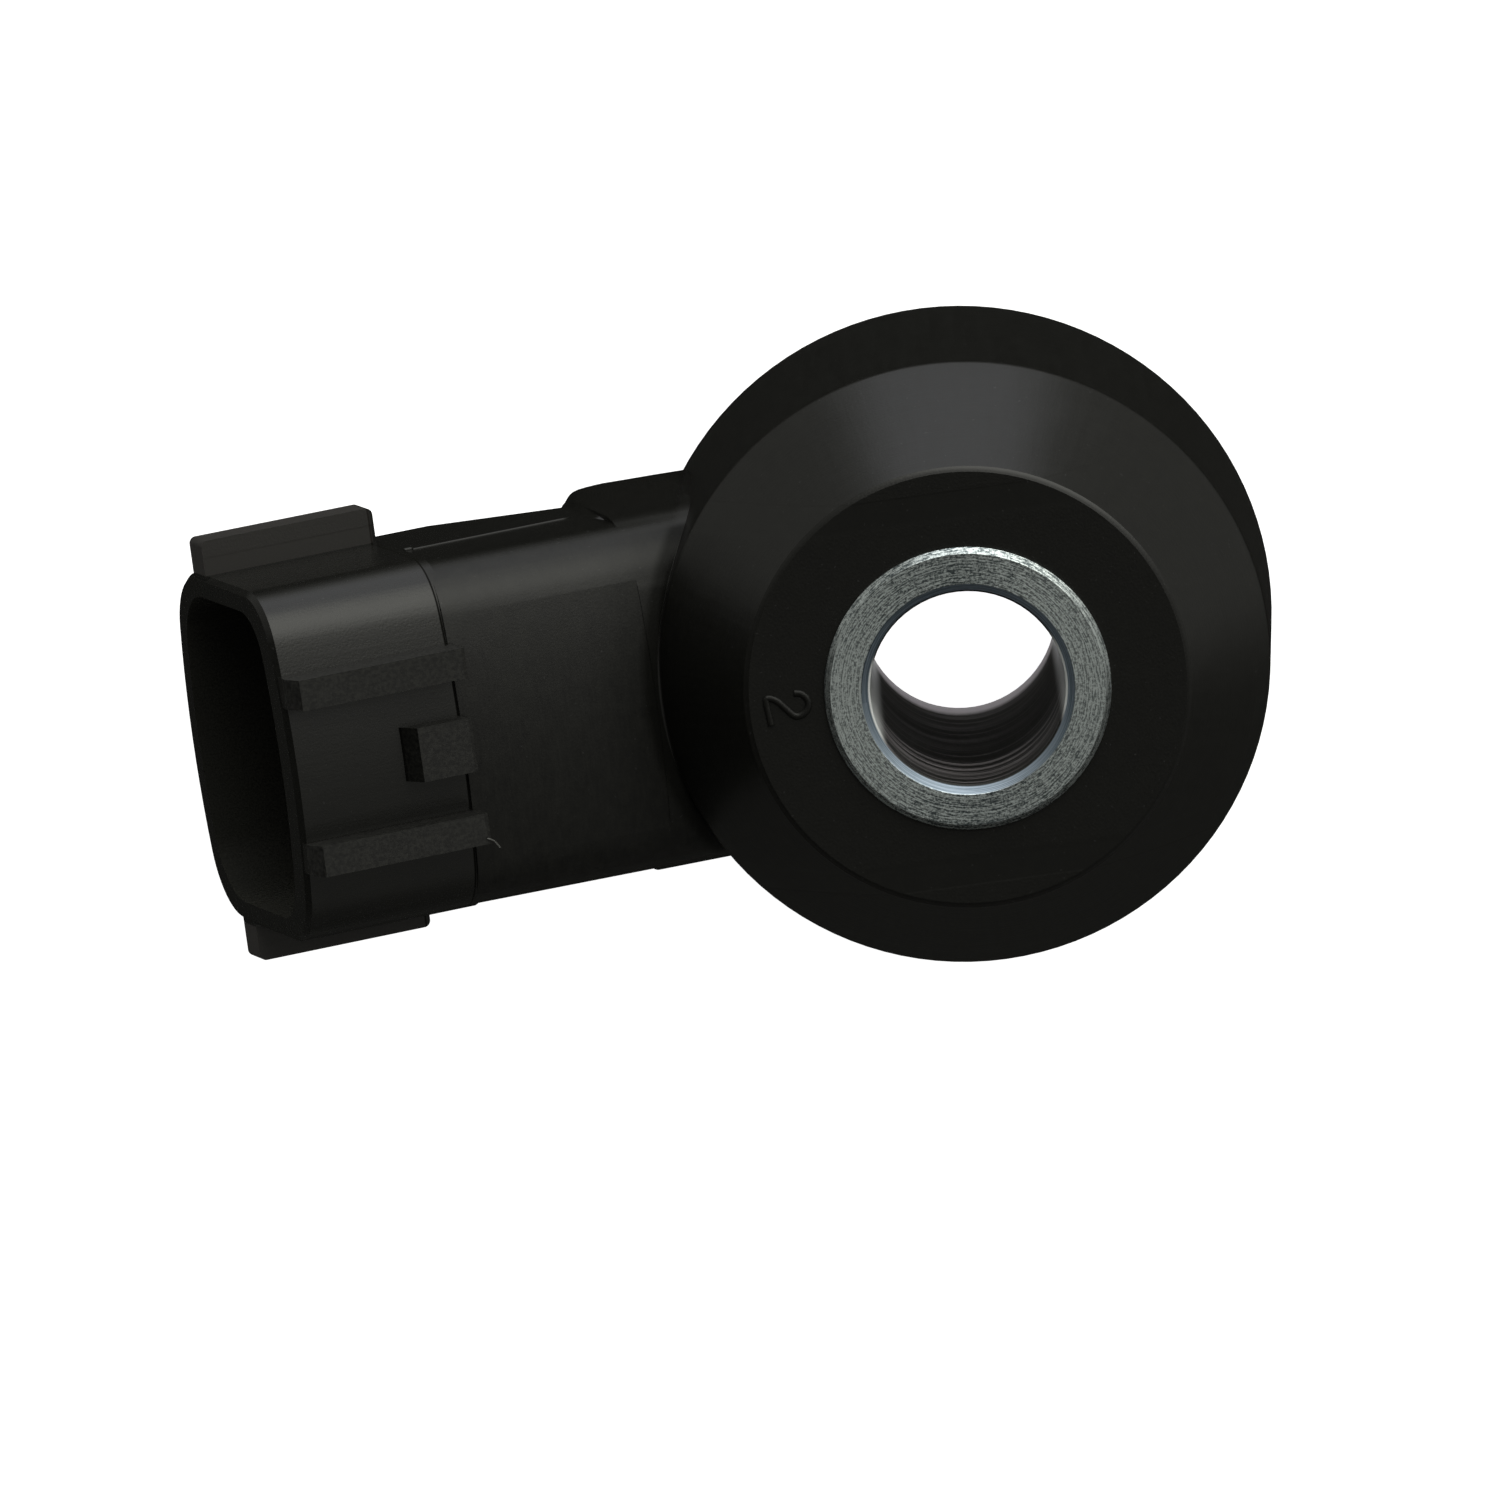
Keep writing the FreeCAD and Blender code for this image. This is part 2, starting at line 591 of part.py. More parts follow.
def make_resistor():
    chip = doc.addObject("Part::Box", "shunt_resistor")
    chip.Label = "shunt_resistor"
    bind(chip, "Length", "resistor_width")
    bind(chip, "Width", "resistor_length")
    bind(chip, "Height", "resistor_height")
    chip.Placement = FreeCAD.Placement(FreeCAD.Vector(),
                                       FreeCAD.Rotation(FreeCAD.Vector(0, 1, 0), SIZES["plug_tilt"]))
    bind(chip, "Placement.Rotation.Angle", "plug_tilt")
    x, z = at("carrier_back - resistor_gap", "blade_top")
    for letter, text in zip("xyz", (x, "-resistor_length / 2", z)):
        bind(chip, f"Placement.Base.{letter}", text)
    doc.recompute()
    return chip


def make_solder(label, side):
    """A fillet of solder from the chip's end down to its terminal."""
    body = new_body(label)
    sketch = station_sketch(body, f"{label}_sketch", "carrier_back - resistor_gap")
    near = f"{side} * resistor_length / 2"
    far = f"{side} * (resistor_length / 2 + solder_foot)"
    polygon(sketch, [(near, "blade_top"), (far, "blade_top"), (near, "blade_top + resistor_height")])
    extrude(body, "Pad", f"{label}_fillet", sketch, "resistor_width")
    return body


# Housing: round body, neck, collar, shroud, ribs and locking tab in one moulding

def add_round_body(body):
    edge = "edge_bevel"
    turn(body, "Revolution", "RoundBody", [
        ("plastic_inner", "rim_lift"),
        ("rim_radius - rim_edge_chamfer", "rim_lift"),
        ("rim_radius", "rim_lift + rim_edge_chamfer"),
        (f"shoulder_radius + {edge} * rim_draft / rim_height", f"shoulder_level - {edge}"),
        (f"shoulder_radius - {edge} * cone_run / cone_drop", f"shoulder_level + {edge}"),
        (f"face_radius + {edge} * cone_run / cone_drop", f"face_level - {edge}"),
        (f"face_radius - {edge}", "face_level"),
        ("plastic_inner", "face_level"),
    ])


def add_lower_block(body, name, width, points):
    """A block under the parting line, with its long lower edges rounded."""
    sketch = new_sketch(body, f"{name}Sketch", "XZ_Plane")
    polygon(sketch, points)
    block = extrude(body, "Pad", name, sketch, width, both_ways=True)
    half = number(width) / 2
    outside = number("rim_radius")
    radius = number("neck_floor_radius")

    def long_lower(edge):
        middle = edge.CenterOfMass
        beyond = edge.Length > radius and max(-vertex.Point.x for vertex in edge.Vertexes) > outside
        below = plug_coordinates(middle)[2] < -radius
        return abs(abs(middle.y) - half) < 1e-4 and beyond and below and runs_along(edge)
    return dress(body, "Fillet", f"{name}Edges", block, "neck_floor_radius", long_lower)


def runs_along(edge):
    """Whether an edge keeps its distance from the middle plane."""
    ends = [vertex.Point.y for vertex in edge.Vertexes]
    return len(ends) == 2 and abs(ends[0] - ends[1]) < 1e-6 and not edge_in_station(edge)


def edge_in_station(edge):
    """Whether an edge lies across the plug."""
    places = [plug_coordinates(vertex.Point)[0] for vertex in edge.Vertexes]
    return abs(places[0] - places[-1]) < 1e-4


def add_upper_block(body, name, half_width, top, corner, end, inset="0"):
    """A crowned block over the parting line. Its top rises from its end to the round body."""
    sketch = station_sketch(body, f"{name}Sketch", f"{end} - seam_lean", "plug_tilt - neck_rise")
    crowned_outline(sketch, half_width, (top, corner, "neck_crown_radius"))
    return extrude(body, "Pad", name, sketch, f"({end}) + body_inset + {inset}")


def add_neck(body):
    floor = "rim_lift + neck_floor_gap"
    start = "-inner_start"
    low = "-shroud_bottom"
    neck_floor = [(start, floor), level_meets(floor, low), at("neck_length", low),
                  at("neck_length", "parting_level"), upright_meets(start, "parting_level")]
    add_lower_block(body, "NeckLower", "neck_width", neck_floor)
    add_upper_block(body, "NeckUpper", "neck_width / 2", "neck_top", "neck_corner_radius", "neck_length")


def add_collar(body):
    """A slightly thicker length of the neck at the round body."""
    start = "collar_inset - inner_start"
    floor = "rim_lift + neck_floor_gap + neck_floor_radius"
    end = "collar_length - seam_lean"
    outline = [(start, floor), level_meets_station(floor, end), at(end, "parting_level"),
               upright_meets(start, "parting_level")]
    sketch = new_sketch(body, "CollarLowerSketch", "XZ_Plane")
    polygon(sketch, outline)
    extrude(body, "Pad", "CollarLower", sketch, "neck_width + 2 * collar_rise", both_ways=True)
    top = "neck_top + (neck_length - collar_length) * tan(neck_rise * 1 deg) + collar_top_rise"
    add_upper_block(body, "CollarUpper", "neck_width / 2 + collar_rise", top, "collar_corner_radius",
                    "collar_length", "collar_inset")


def level_meets_station(z, u):
    """Where the height z meets the station at u."""
    return at(u, f"(({z}) - root_z - ({u}) * tilt_sine) / tilt_cosine")


def add_shroud(body):
    sketch = station_sketch(body, "ShroudSketch", "mouth")
    crowned_outline(sketch, "shroud_width / 2",
                    ("shroud_top", "shroud_top_corner", "shroud_crown_radius"),
                    ("shroud_bottom", "shroud_bottom_corner", "shroud_crown_radius"))
    shroud = extrude(body, "Pad", "Shroud", sketch, "shroud_length + seam_lean")
    mouth_place = number("mouth")
    dress(body, "Chamfer", "MouthEdge", shroud, "mouth_edge_bevel",
          lambda edge: edge_in_plane(edge, 0, mouth_place))
    socket = station_sketch(body, "SocketSketch", "mouth")
    crowned_outline(socket, "shroud_width / 2 - shroud_side_wall",
                    ("shroud_top - shroud_top_wall", "shroud_top_corner - shroud_side_wall / 2",
                     "shroud_crown_radius"),
                    ("shroud_bottom - shroud_bottom_wall", "shroud_bottom_corner - shroud_side_wall / 2",
                     "shroud_crown_radius"))
    extrude(body, "Pocket", "Socket", socket, "socket_depth", backwards=True)


def add_guide_ribs(body):
    """One plate at each short side of the shroud, with rounded outer corners."""
    start = "rib_setback - mouth"
    end = "rib_run_on - neck_length"
    inner = "(shroud_width / 2 - shroud_side_wall / 2)"
    outer = "(shroud_width / 2 + guide_rib_height)"
    for name, sign in (("GuideRibHigh", ""), ("GuideRibLow", "-")):
        sketch = deck_sketch(body, f"{name}Sketch", "guide_rib_level")
        polygon(sketch, [(start, sign + inner), (start, sign + outer, "guide_rib_corner"),
                         (end, sign + outer, "guide_rib_corner"), (end, sign + inner)])
        extrude(body, "Pad", name, sketch, "guide_rib_thickness", both_ways=True)


def add_side_ribs(body):
    """Two ribs along the upper broad side, with slanted ends at the mouth."""
    inside = "shroud_top - shroud_top_wall / 2"
    start = "rib_setback - mouth"
    end = "rib_run_on - neck_length"
    top = "shroud_top + side_rib_height"
    for name, sign in (("SideRibHigh", ""), ("SideRibLow", "-")):
        sketch = side_sketch(body, f"{name}Sketch", f"{sign}side_rib_pitch / 2")
        polygon(sketch, [(end, inside), (start, inside), (start, "shroud_top + side_rib_front"),
                         (f"{start} + side_rib_lead", top), (end, top)])
        extrude(body, "Pad", name, sketch, "side_rib_width", both_ways=True)


def add_tab(body):
    """The locking tab, with its steep ramp towards the mouth."""
    inside = "shroud_top - shroud_top_wall / 2"
    end = "rib_run_on - neck_length"
    flat = "-(neck_length + tab_length)"
    top = "shroud_top + tab_height"
    sketch = side_sketch(body, "TabSketch")
    polygon(sketch, [(end, inside), (f"{flat} - tab_ramp", inside), (f"{flat} - tab_ramp", "shroud_top"),
                     (flat, top), (end, top)])
    extrude(body, "Pad", "LockingTab", sketch, "tab_width", both_ways=True)


def add_chamber(body):
    """The room round the stack, with a narrower part for the spring and the nut."""
    wide = "max(piezo_outer; mass_outer) + stack_gap"
    narrow = "max(spring_outer; nut_outer) + stack_gap"
    turn(body, "Groove", "StackChamber", [
        ("plastic_inner", "flange_thickness"),
        (wide, "flange_thickness"),
        (wide, "mass_top + stack_gap"),
        (narrow, "mass_top + stack_gap"),
        (narrow, "nut_top + stack_gap"),
        ("plastic_inner", "nut_top + stack_gap"),
    ])


def make_housing(inserts):
    body = new_body("moulded_body")
    add_round_body(body)
    add_neck(body)
    add_collar(body)
    add_shroud(body)
    add_guide_ribs(body)
    add_side_ribs(body)
    add_tab(body)
    add_chamber(body)
    return cut_out("housing", body, inserts)


def cut_out(label, base, tools):
    """The base less each piece that it is moulded round."""
    last = base
    for index, tool in enumerate(tools):
        cut = doc.addObject("Part::Cut", label if index == len(tools) - 1 else f"{label}_less_{tool.Label}")
        cut.Base = last
        cut.Tool = tool
        last = cut
    last.Label = label
    doc.recompute()
    return last


# Checks and files

def check_document():
    for item in doc.Objects:
        if {"Invalid", "Error"} & set(item.State):
            raise RuntimeError(f"{item.Label} failed: {item.State}")


def write_steps(pieces):
    os.makedirs("parts", exist_ok=True)
    for piece in pieces:
        shape = piece.Shape
        if shape.isNull() or not shape.isValid():
            raise RuntimeError(f"{piece.Label} has no valid shape")
        if len(shape.Solids) != 1:
            raise RuntimeError(f"{piece.Label} has {len(shape.Solids)} solids")
        shape.exportStep(f"parts/{piece.Label}.step")
        print(piece.Label, round(shape.Volume, 2))


def main():
    sleeve = make_sleeve()
    tube = ring("insulating_tube", "tube_inner", "tube_outer", "flange_thickness", "upper_washer_top")
    lower_washer = ring("lower_insulating_washer", "piezo_inner", "piezo_outer",
                        "flange_thickness", "lower_washer_top")
    lower_plate = make_lower_plate()
    piezo = ring("piezo_ring", "piezo_inner", "piezo_outer", "lower_plate_top", "piezo_top")
    upper_plate = make_upper_plate()
    upper_washer = ring("upper_insulating_washer", "piezo_inner", "piezo_outer",
                        "upper_plate_top", "upper_washer_top")
    mass = ring("seismic_mass", "mass_inner", "mass_outer", "upper_washer_top", "mass_top")
    spring = make_spring()
    nut = make_nut()
    signal = make_terminal("signal_terminal", "1")
    ground = make_terminal("ground_terminal", "-1")
    carrier = make_carrier([signal, ground])
    resistor = make_resistor()
    solders = [make_solder("signal_solder", "1"), make_solder("ground_solder", "-1")]
    inserts = [sleeve, lower_plate, upper_plate, signal, ground, carrier, resistor] + solders
    housing = make_housing(inserts)
    check_document()
    write_steps([housing, sleeve, tube, lower_washer, lower_plate, piezo, upper_plate, upper_washer,
                 mass, spring, nut, signal, ground, carrier, resistor] + solders)


main()
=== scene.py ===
"""Looks of the engine knock sensor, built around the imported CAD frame.

The housing and the sleeve are shown as smooth-shaded copies of their solids. The number on the face, the
fine ridges on the neck's parting line, a curl of flash on one rib and the swelling at the neck's root are
pieces of their own. Lengths are millimetres in the CAD frame, unless a comment names another unit.
"""

import math
from types import SimpleNamespace

import bmesh
import bpy
from mathutils import Matrix, Vector


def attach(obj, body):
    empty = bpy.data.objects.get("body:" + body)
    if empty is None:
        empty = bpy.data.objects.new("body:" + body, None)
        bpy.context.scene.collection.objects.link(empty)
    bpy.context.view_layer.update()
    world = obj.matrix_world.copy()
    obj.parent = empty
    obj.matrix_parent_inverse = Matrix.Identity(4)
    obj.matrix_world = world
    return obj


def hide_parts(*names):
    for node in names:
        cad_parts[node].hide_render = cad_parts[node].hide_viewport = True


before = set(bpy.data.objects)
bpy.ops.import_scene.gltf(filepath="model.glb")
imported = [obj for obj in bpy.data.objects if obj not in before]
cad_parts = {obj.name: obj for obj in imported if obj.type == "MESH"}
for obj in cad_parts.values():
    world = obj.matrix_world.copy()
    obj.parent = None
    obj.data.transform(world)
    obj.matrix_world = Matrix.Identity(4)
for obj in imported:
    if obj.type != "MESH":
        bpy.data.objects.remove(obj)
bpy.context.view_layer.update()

MM = 0.001

# The connector leaves the round body at this place and angle, in the plane y = 0.
PLUG_ROOT = Vector((-13.33, 0.0, 4.85))
PLUG_TILT = math.radians(20.0)
PLUG_ALONG = Vector((-math.cos(PLUG_TILT), 0.0, math.sin(PLUG_TILT)))
PLUG_UP = Vector((math.sin(PLUG_TILT), 0.0, math.cos(PLUG_TILT)))

# Levels and radii of the round body, and of the sleeve's end, bore and inner chamfer
FACE_LEVEL = 18.57
BODY_RADIUS = 13.6
NECK_MEETS_BODY = 13.36
SLEEVE_END = 18.90
CHAMFER_FOOT = 18.50
BORE_RADIUS = 4.30
CHAMFER_RADIUS = 4.60

# Radii that turn an angle round the bolt into a length for the marks of the housing and of the sleeve
HOUSING_ARC = 11.5
SLEEVE_ARC = 5.2

# Painted light in the bore: its rings are painted brighter between two levels, painted light brightens it
# towards its foot, and a painted glint makes it bright where its wall is seen edge on.
BORE_PAINTED_RING_LIGHT = (9.0, 15.0)
BORE_PAINTED_FOOT_LIGHT = (0.9, 2.6)
BORE_PAINTED_GLINT_SPAN = (3.75, 4.15)

# Places on the plug: u runs along its axis, t is the height above it, half widths are counted from y = 0.
NECK_END = 11.7
NECK_HALF = 7.72
FLANK_START = 7.25
FLANK_END = 8.6
SHROUD_TOP = 6.70
SHROUD_HALF = 7.84
SOCKET_START = 8.5
SOCKET_TOP = 5.05
SOCKET_HALF = 6.86

# The neck gets painted shade close beside the round body, put in as a lower gloss: half the width and the
# end of that zone along x, and the radii between which its two shades fade.
SHADE_HALF = 7.2
SHADE_END = -10.5
ROOT_FADE = (13.6, 17.0)
CORNER_FADE = (13.8, 14.3)

# Colours of the black plastic: each pair runs from its darkest to its lightest.
SMOOTH_BLACK = ((0.0034, 0.0034, 0.0028, 1.0), (0.0058, 0.0058, 0.0048, 1.0))
MATT_BLACK = ((0.0022, 0.0022, 0.0018, 1.0), (0.0095, 0.0095, 0.0080, 1.0))
RIB_BLACK = ((0.0024, 0.0024, 0.0020, 1.0), (0.0130, 0.0130, 0.0112, 1.0))
GUIDE_COLOUR = (0.020, 0.0185, 0.017, 1.0)
# Painted light: the socket's inside is coloured lighter than the plastic, where little light reaches.
SOCKET_PAINTED_LIGHT = (0.022, 0.022, 0.019, 1.0)
SPECK_COLOUR = (0.02, 0.02, 0.02, 1.0)

# Colours of the plated sleeve: its end, the chamfer into the bore, the bore, and the white of the bore's
# painted glint
PLATE = ((0.12, 0.145, 0.155, 1.0), (0.92, 1.0, 1.0, 1.0))
CHAMFER_PLATE = ((0.22, 0.28, 0.34, 1.0), (0.46, 0.54, 0.64, 1.0))
BORE_METAL = ((0.014, 0.014, 0.012, 1.0), (0.46, 0.43, 0.45, 1.0))
BORE_PAINTED_GLINT = (0.90, 0.92, 0.92, 1.0)

# The number stands on the face beside the sleeve, turned a quarter to the right.
NUMBER_TWO = ((-7.50, 0.80), (-7.22, 0.74), (-6.99, 0.52), (-6.93, 0.22), (-7.08, -0.06), (-7.36, -0.22),
              (-7.62, -0.18), (-7.93, 0.16), (-8.22, 0.50), (-8.48, 0.68), (-8.72, 0.70), (-8.74, 0.40),
              (-8.70, 0.00), (-8.66, -0.48))

# A smooth line has this many places between two given points.
LINE_STEPS = 6

# The ridges on the neck's parting line: name, start along the plug, step, points, width and height
PARTING_LEVEL = 0.8
RIDGES = (("flash", 11.55, 0.43, 20, 0.10, 0.05), ("burr", 11.25, 0.11, 5, 0.16, 0.13))
RIDGE_SUNK = 0.15

# The curl of flash: places along, across and above the plug's axis
WHISKER = ((11.75, -4.10, 8.13), (11.60, -4.16, 8.17), (11.44, -4.28, 8.16), (11.30, -4.46, 8.10),
           (11.18, -4.62, 8.00))

# The swelling at the neck's root: places along the plug, and how far it reaches across at each
SWELLING = ((3.42, 7.50), (3.32, 7.71), (3.24, 7.77), (3.15, 7.87), (3.05, 8.00), (2.92, 8.13),
            (2.74, 8.23), (2.50, 8.30), (2.10, 8.36), (1.70, 8.40), (1.32, 8.43), (0.15, 8.46),
            (-1.10, 8.50), (-2.60, 8.53))

# Each of its sections starts inside the neck, rounds its lower corner and leans in to a top that climbs.
SWELLING_FOOT = 0.98
SWELLING_CORNER = 2.4
SWELLING_INNER = 4.5
SWELLING_TOP = 7.6
SWELLING_CLIMB = 0.35
CORNER_STEPS = 6
SIDE_STEPS = 5

# How far the top reaches across: it narrows from a place along the plug on, between two limits.
TOP_REACH_LOW = 7.64
TOP_REACH_HIGH = 7.84
TOP_NARROWS_FROM = 2.3
TOP_NARROWING = 0.6

# A section passes through its place on the plug's axis at this level and leans by ten degrees.
SECTION_LEVEL = 3.6
SECTION_LEAN = math.tan(math.radians(10.0))

# Faces that meet at less than this angle are shaded as one. Corners closer than this are one corner.
CREASE = math.radians(22.0)
SAME_PLACE = 0.001

# Strengths of the lights around the part, and of the white that the picture shows behind it
WALL_LIGHT = 0.215
BOX_LIGHT = 0.85
LAMP_LIGHT = 1.15
RIGHT_LIGHT = 0.20
FRONT_LIGHT = 0.19
LOW_FRONT_LIGHT = 0.04
OVERHEAD_LIGHT = 0.07
REST_LIGHT = (0.012, 0.046)
BACKDROP_LIGHT = 0.9

# The floor lies just under the part and reaches this many metres to each side.
FLOOR_LEVEL = -0.05
FLOOR_REACH = 3.0

# The photograph's viewpoint: the picture's right, the way back to the viewer, and the place in metres
VIEW_RIGHT = Vector((0.99063, -0.13605, 0.0122))
VIEW_BACK = Vector((0.01313, 0.18373, 0.98289))
VIEW_PLACE = Vector((0.002793, 0.173704, 0.955401))


class Nodes:
    """A node tree. Each call adds what it names, and gives back its output."""

    def __init__(self, tree):
        self.tree = tree

    def add(self, kind, **settings):
        """A new node of a kind, with its settings."""
        made = self.tree.nodes.new(kind)
        for name, value in settings.items():
            setattr(made, name, value)
        return made

    def feed(self, socket, value):
        """Links an output to the socket, or sets the socket to a plain value."""
        if isinstance(value, bpy.types.NodeSocket):
            self.tree.links.new(value, socket)
        else:
            socket.default_value = value

    def math(self, operation, first, second=0.0):
        """One operation on one or two numbers."""
        made = self.add("ShaderNodeMath", operation=operation)
        for socket, value in zip(made.inputs, (first, second)):
            self.feed(socket, value)
        return made.outputs[0]

    def plus(self, first, second):
        return self.math("ADD", first, second)

    def times(self, first, second):
        return self.math("MULTIPLY", first, second)

    def either(self, first, second):
        """The larger of two shares."""
        return self.math("MAXIMUM", first, second)

    def both(self, first, *others):
        """The product of several shares. It is full only where they all are."""
        product = first
        for share in others:
            product = self.times(product, share)
        return product

    def blend(self, share, first, second):
        """A share of the first number and the rest of the second."""
        return self.plus(self.times(first, share), self.times(second, 1 - share))

    def remap(self, value, low, high, at_low, at_high, **settings):
        """The range from low to high, moved to another range."""
        made = self.add("ShaderNodeMapRange", **settings)
        for name, number in zip(("Value", "From Min", "From Max", "To Min", "To Max"),
                                (value, low, high, at_low, at_high)):
            self.feed(made.inputs[name], number)
        return made.outputs[0]

    def rise(self, value, low, high, at_low=0.0, at_high=1.0):
        """A smooth step up between two values."""
        return self.remap(value, low, high, at_low, at_high, interpolation_type="SMOOTHSTEP")

    def fall(self, value, low, high, at_low=1.0, at_high=0.0):
        """A smooth step down between two values."""
        return self.rise(value, low, high, at_low, at_high)

    def spread(self, value, low, high, at_low=0.0, at_high=1.0):
        """A straight ramp between two values, held at its ends."""
        return self.remap(value, low, high, at_low, at_high, interpolation_type="LINEAR", clamp=True)

    def join(self, x, y, z):
        """A vector of three numbers."""
        made = self.add("ShaderNodeCombineXYZ")
        for socket, value in zip(made.inputs, (x, y, z)):
            self.feed(socket, value)
        return made.outputs[0]

    def split(self, vector):
        """The three numbers of a vector."""
        made = self.add("ShaderNodeSeparateXYZ")
        self.feed(made.inputs[0], vector)
        return made.outputs[0], made.outputs[1], made.outputs[2]

    def noise(self, vector, scale, detail, roughness):
        """A cloudy pattern, mostly near one half."""
        made = self.add("ShaderNodeTexNoise", noise_dimensions="3D")
        self.feed(made.inputs["Vector"], vector)
        made.inputs["Scale"].default_value = scale
        made.inputs["Detail"].default_value = detail
        made.inputs["Roughness"].default_value = roughness
        return made.outputs[0]

    def marks(self, coordinates, waves, detail, roughness):
        """A noise with its own number of waves per unit along each of three coordinates."""
        scaled = [self.times(coordinate, number) for coordinate, number in zip(coordinates, waves)]
        return self.noise(self.join(*scaled), scale=1.0, detail=detail, roughness=roughness)

    def mix(self, share, first, second):
        """A mix of two numbers."""
        made = self.add("ShaderNodeMix", data_type="FLOAT")
        self.feed(made.inputs[0], share)
        self.feed(made.inputs[2], first)
        self.feed(made.inputs[3], second)
        return made.outputs[0]

    def layers(self, value, *zones):
        """A number that each zone in turn replaces with its own."""
        for share, inside in zones:
            value = self.mix(share, value, inside)
        return value

    def colours(self, share, first, second):
        """A mix of two colours."""
        made = self.add("ShaderNodeMix", data_type="RGBA")
        self.feed(made.inputs[0], share)
        self.feed(made.inputs[6], first)
        self.feed(made.inputs[7], second)
        return made.outputs[2]

    def places(self):
        """The three coordinates of a point in the CAD frame, in millimetres."""
        position = self.add("ShaderNodeTexCoord").outputs["Object"]
        scaled = self.add("ShaderNodeVectorMath", operation="SCALE")
        self.feed(scaled.inputs[0], position)
        scaled.inputs["Scale"].default_value = 1 / MM
        return self.split(scaled.outputs[0])

    def dot(self, vector, direction):
        """How far a vector goes in a fixed direction."""
        made = self.add("ShaderNodeVectorMath", operation="DOT_PRODUCT")
        self.feed(made.inputs[0], vector)
        made.inputs[1].default_value = direction
        return made.outputs["Value"]

    def along(self, point, direction, start):
        """How far a point lies along a direction from a start point."""
        moved = self.add("ShaderNodeVectorMath", operation="SUBTRACT")
        self.feed(moved.inputs[0], point)
        moved.inputs[1].default_value = start
        return self.dot(moved.outputs[0], direction)

    def facing(self, direction):
        """How squarely the surface faces a direction of the CAD frame."""
        return self.dot(self.add("ShaderNodeTexCoord").outputs["Normal"], direction)

    def polar(self, x, y):
        """Radius and angle round the bolt's axis."""
        squares = self.plus(self.times(x, x), self.times(y, y))
        return self.math("SQRT", squares), self.math("ARCTAN2", y, x)

    def bump(self, height, depth):
        """A normal for a height between 0 and 1 that stands for a depth in millimetres."""
        made = self.add("ShaderNodeBump")
        made.inputs["Strength"].default_value = 1.0
        made.inputs["Distance"].default_value = depth * MM
        self.feed(made.inputs["Height"], height)
        return made.outputs[0]


def grey(value):
    """A neutral colour."""
    return (value, value, value, 1.0)


def start_material(name):
    """A new material with one shader, which nothing feeds yet."""
    material = bpy.data.materials.new(name)
    material.use_nodes = True
    material.node_tree.nodes.clear()
    nodes = Nodes(material.node_tree)
    shader = nodes.add("ShaderNodeBsdfPrincipled")
    output = nodes.add("ShaderNodeOutputMaterial")
    material.node_tree.links.new(shader.outputs[0], output.inputs[0])
    return material, nodes, shader


def feed_shader(nodes, shader, colour, rough, height, depth):
    """Gives a shader its colour, roughness and relief, whose depth is in millimetres."""
    nodes.feed(shader.inputs["Base Color"], colour)
    nodes.feed(shader.inputs["Roughness"], rough)
    nodes.feed(shader.inputs["Normal"], nodes.bump(height, depth))


def housing_places(nodes):
    """Where a point of the housing lies: in the CAD frame, round the bolt and along the plug."""
    x, y, z = nodes.places()
    radius, angle = nodes.polar(x, y)
    point = nodes.join(x, y, z)
    return SimpleNamespace(
        x=x,
        y=y,
        z=z,
        point=point,
        radius=radius,
        arc=nodes.times(angle, HOUSING_ARC),
        u=nodes.along(point, PLUG_ALONG, PLUG_ROOT),
        t=nodes.along(point, PLUG_UP, PLUG_ROOT),
        side=nodes.math("ABSOLUTE", y),
    )


def housing_zones(nodes, at):
    """How far a point belongs to each zone of the housing, from 0 to 1."""
    zone = SimpleNamespace()
    zone.body = nodes.fall(at.radius, BODY_RADIUS + 0.1, BODY_RADIUS + 0.5)
    zone.face = nodes.both(nodes.rise(at.z, FACE_LEVEL - 0.12, FACE_LEVEL - 0.02), zone.body)
    zone.shroud = nodes.rise(at.u, NECK_END - 0.03, NECK_END + 0.03)
    zone.low_shroud = nodes.both(zone.shroud, nodes.fall(at.t, SHROUD_TOP, SHROUD_TOP + 0.08))
    zone.ribs = nodes.both(nodes.rise(at.t, SHROUD_TOP, SHROUD_TOP + 0.08),
                           nodes.rise(at.u, NECK_END - 0.3, NECK_END - 0.2))
    zone.guides = nodes.both(nodes.rise(at.side, SHROUD_HALF, SHROUD_HALF + 0.06), zone.shroud)
    zone.socket = nodes.both(nodes.fall(at.side, SOCKET_HALF, SOCKET_HALF + 0.04),
                             nodes.fall(at.t, SOCKET_TOP, SOCKET_TOP + 0.09),
                             nodes.rise(at.u, SOCKET_START, SOCKET_START + 0.2),
                             nodes.fall(nodes.facing(PLUG_ALONG), 0.5, 0.8))
    zone.seam = nodes.both(nodes.rise(at.u, NECK_END, NECK_END + 0.03),
                           nodes.fall(at.u, NECK_END + 0.08, NECK_END + 0.12),
                           nodes.fall(at.t, SHROUD_TOP - 0.04, SHROUD_TOP))
    zone.flank = nodes.both(nodes.rise(at.side, FLANK_START, FLANK_START + 0.35),
                            nodes.fall(at.side, FLANK_END, FLANK_END + 0.1))
    painted_shade_beside_body = nodes.both(nodes.rise(at.radius, NECK_MEETS_BODY, NECK_MEETS_BODY + 0.06),
                             nodes.fall(at.side, SHADE_HALF, SHADE_HALF + 0.3),
                             nodes.fall(at.x, SHADE_END, SHADE_END + 0.5))
    # Two zones of painted shade beside the round body; the gloss below is lowered in them.
    zone.root = nodes.both(painted_shade_beside_body, nodes.fall(at.radius, *ROOT_FADE))
    zone.corner = nodes.both(painted_shade_beside_body, nodes.fall(at.radius, *CORNER_FADE))
    return zone


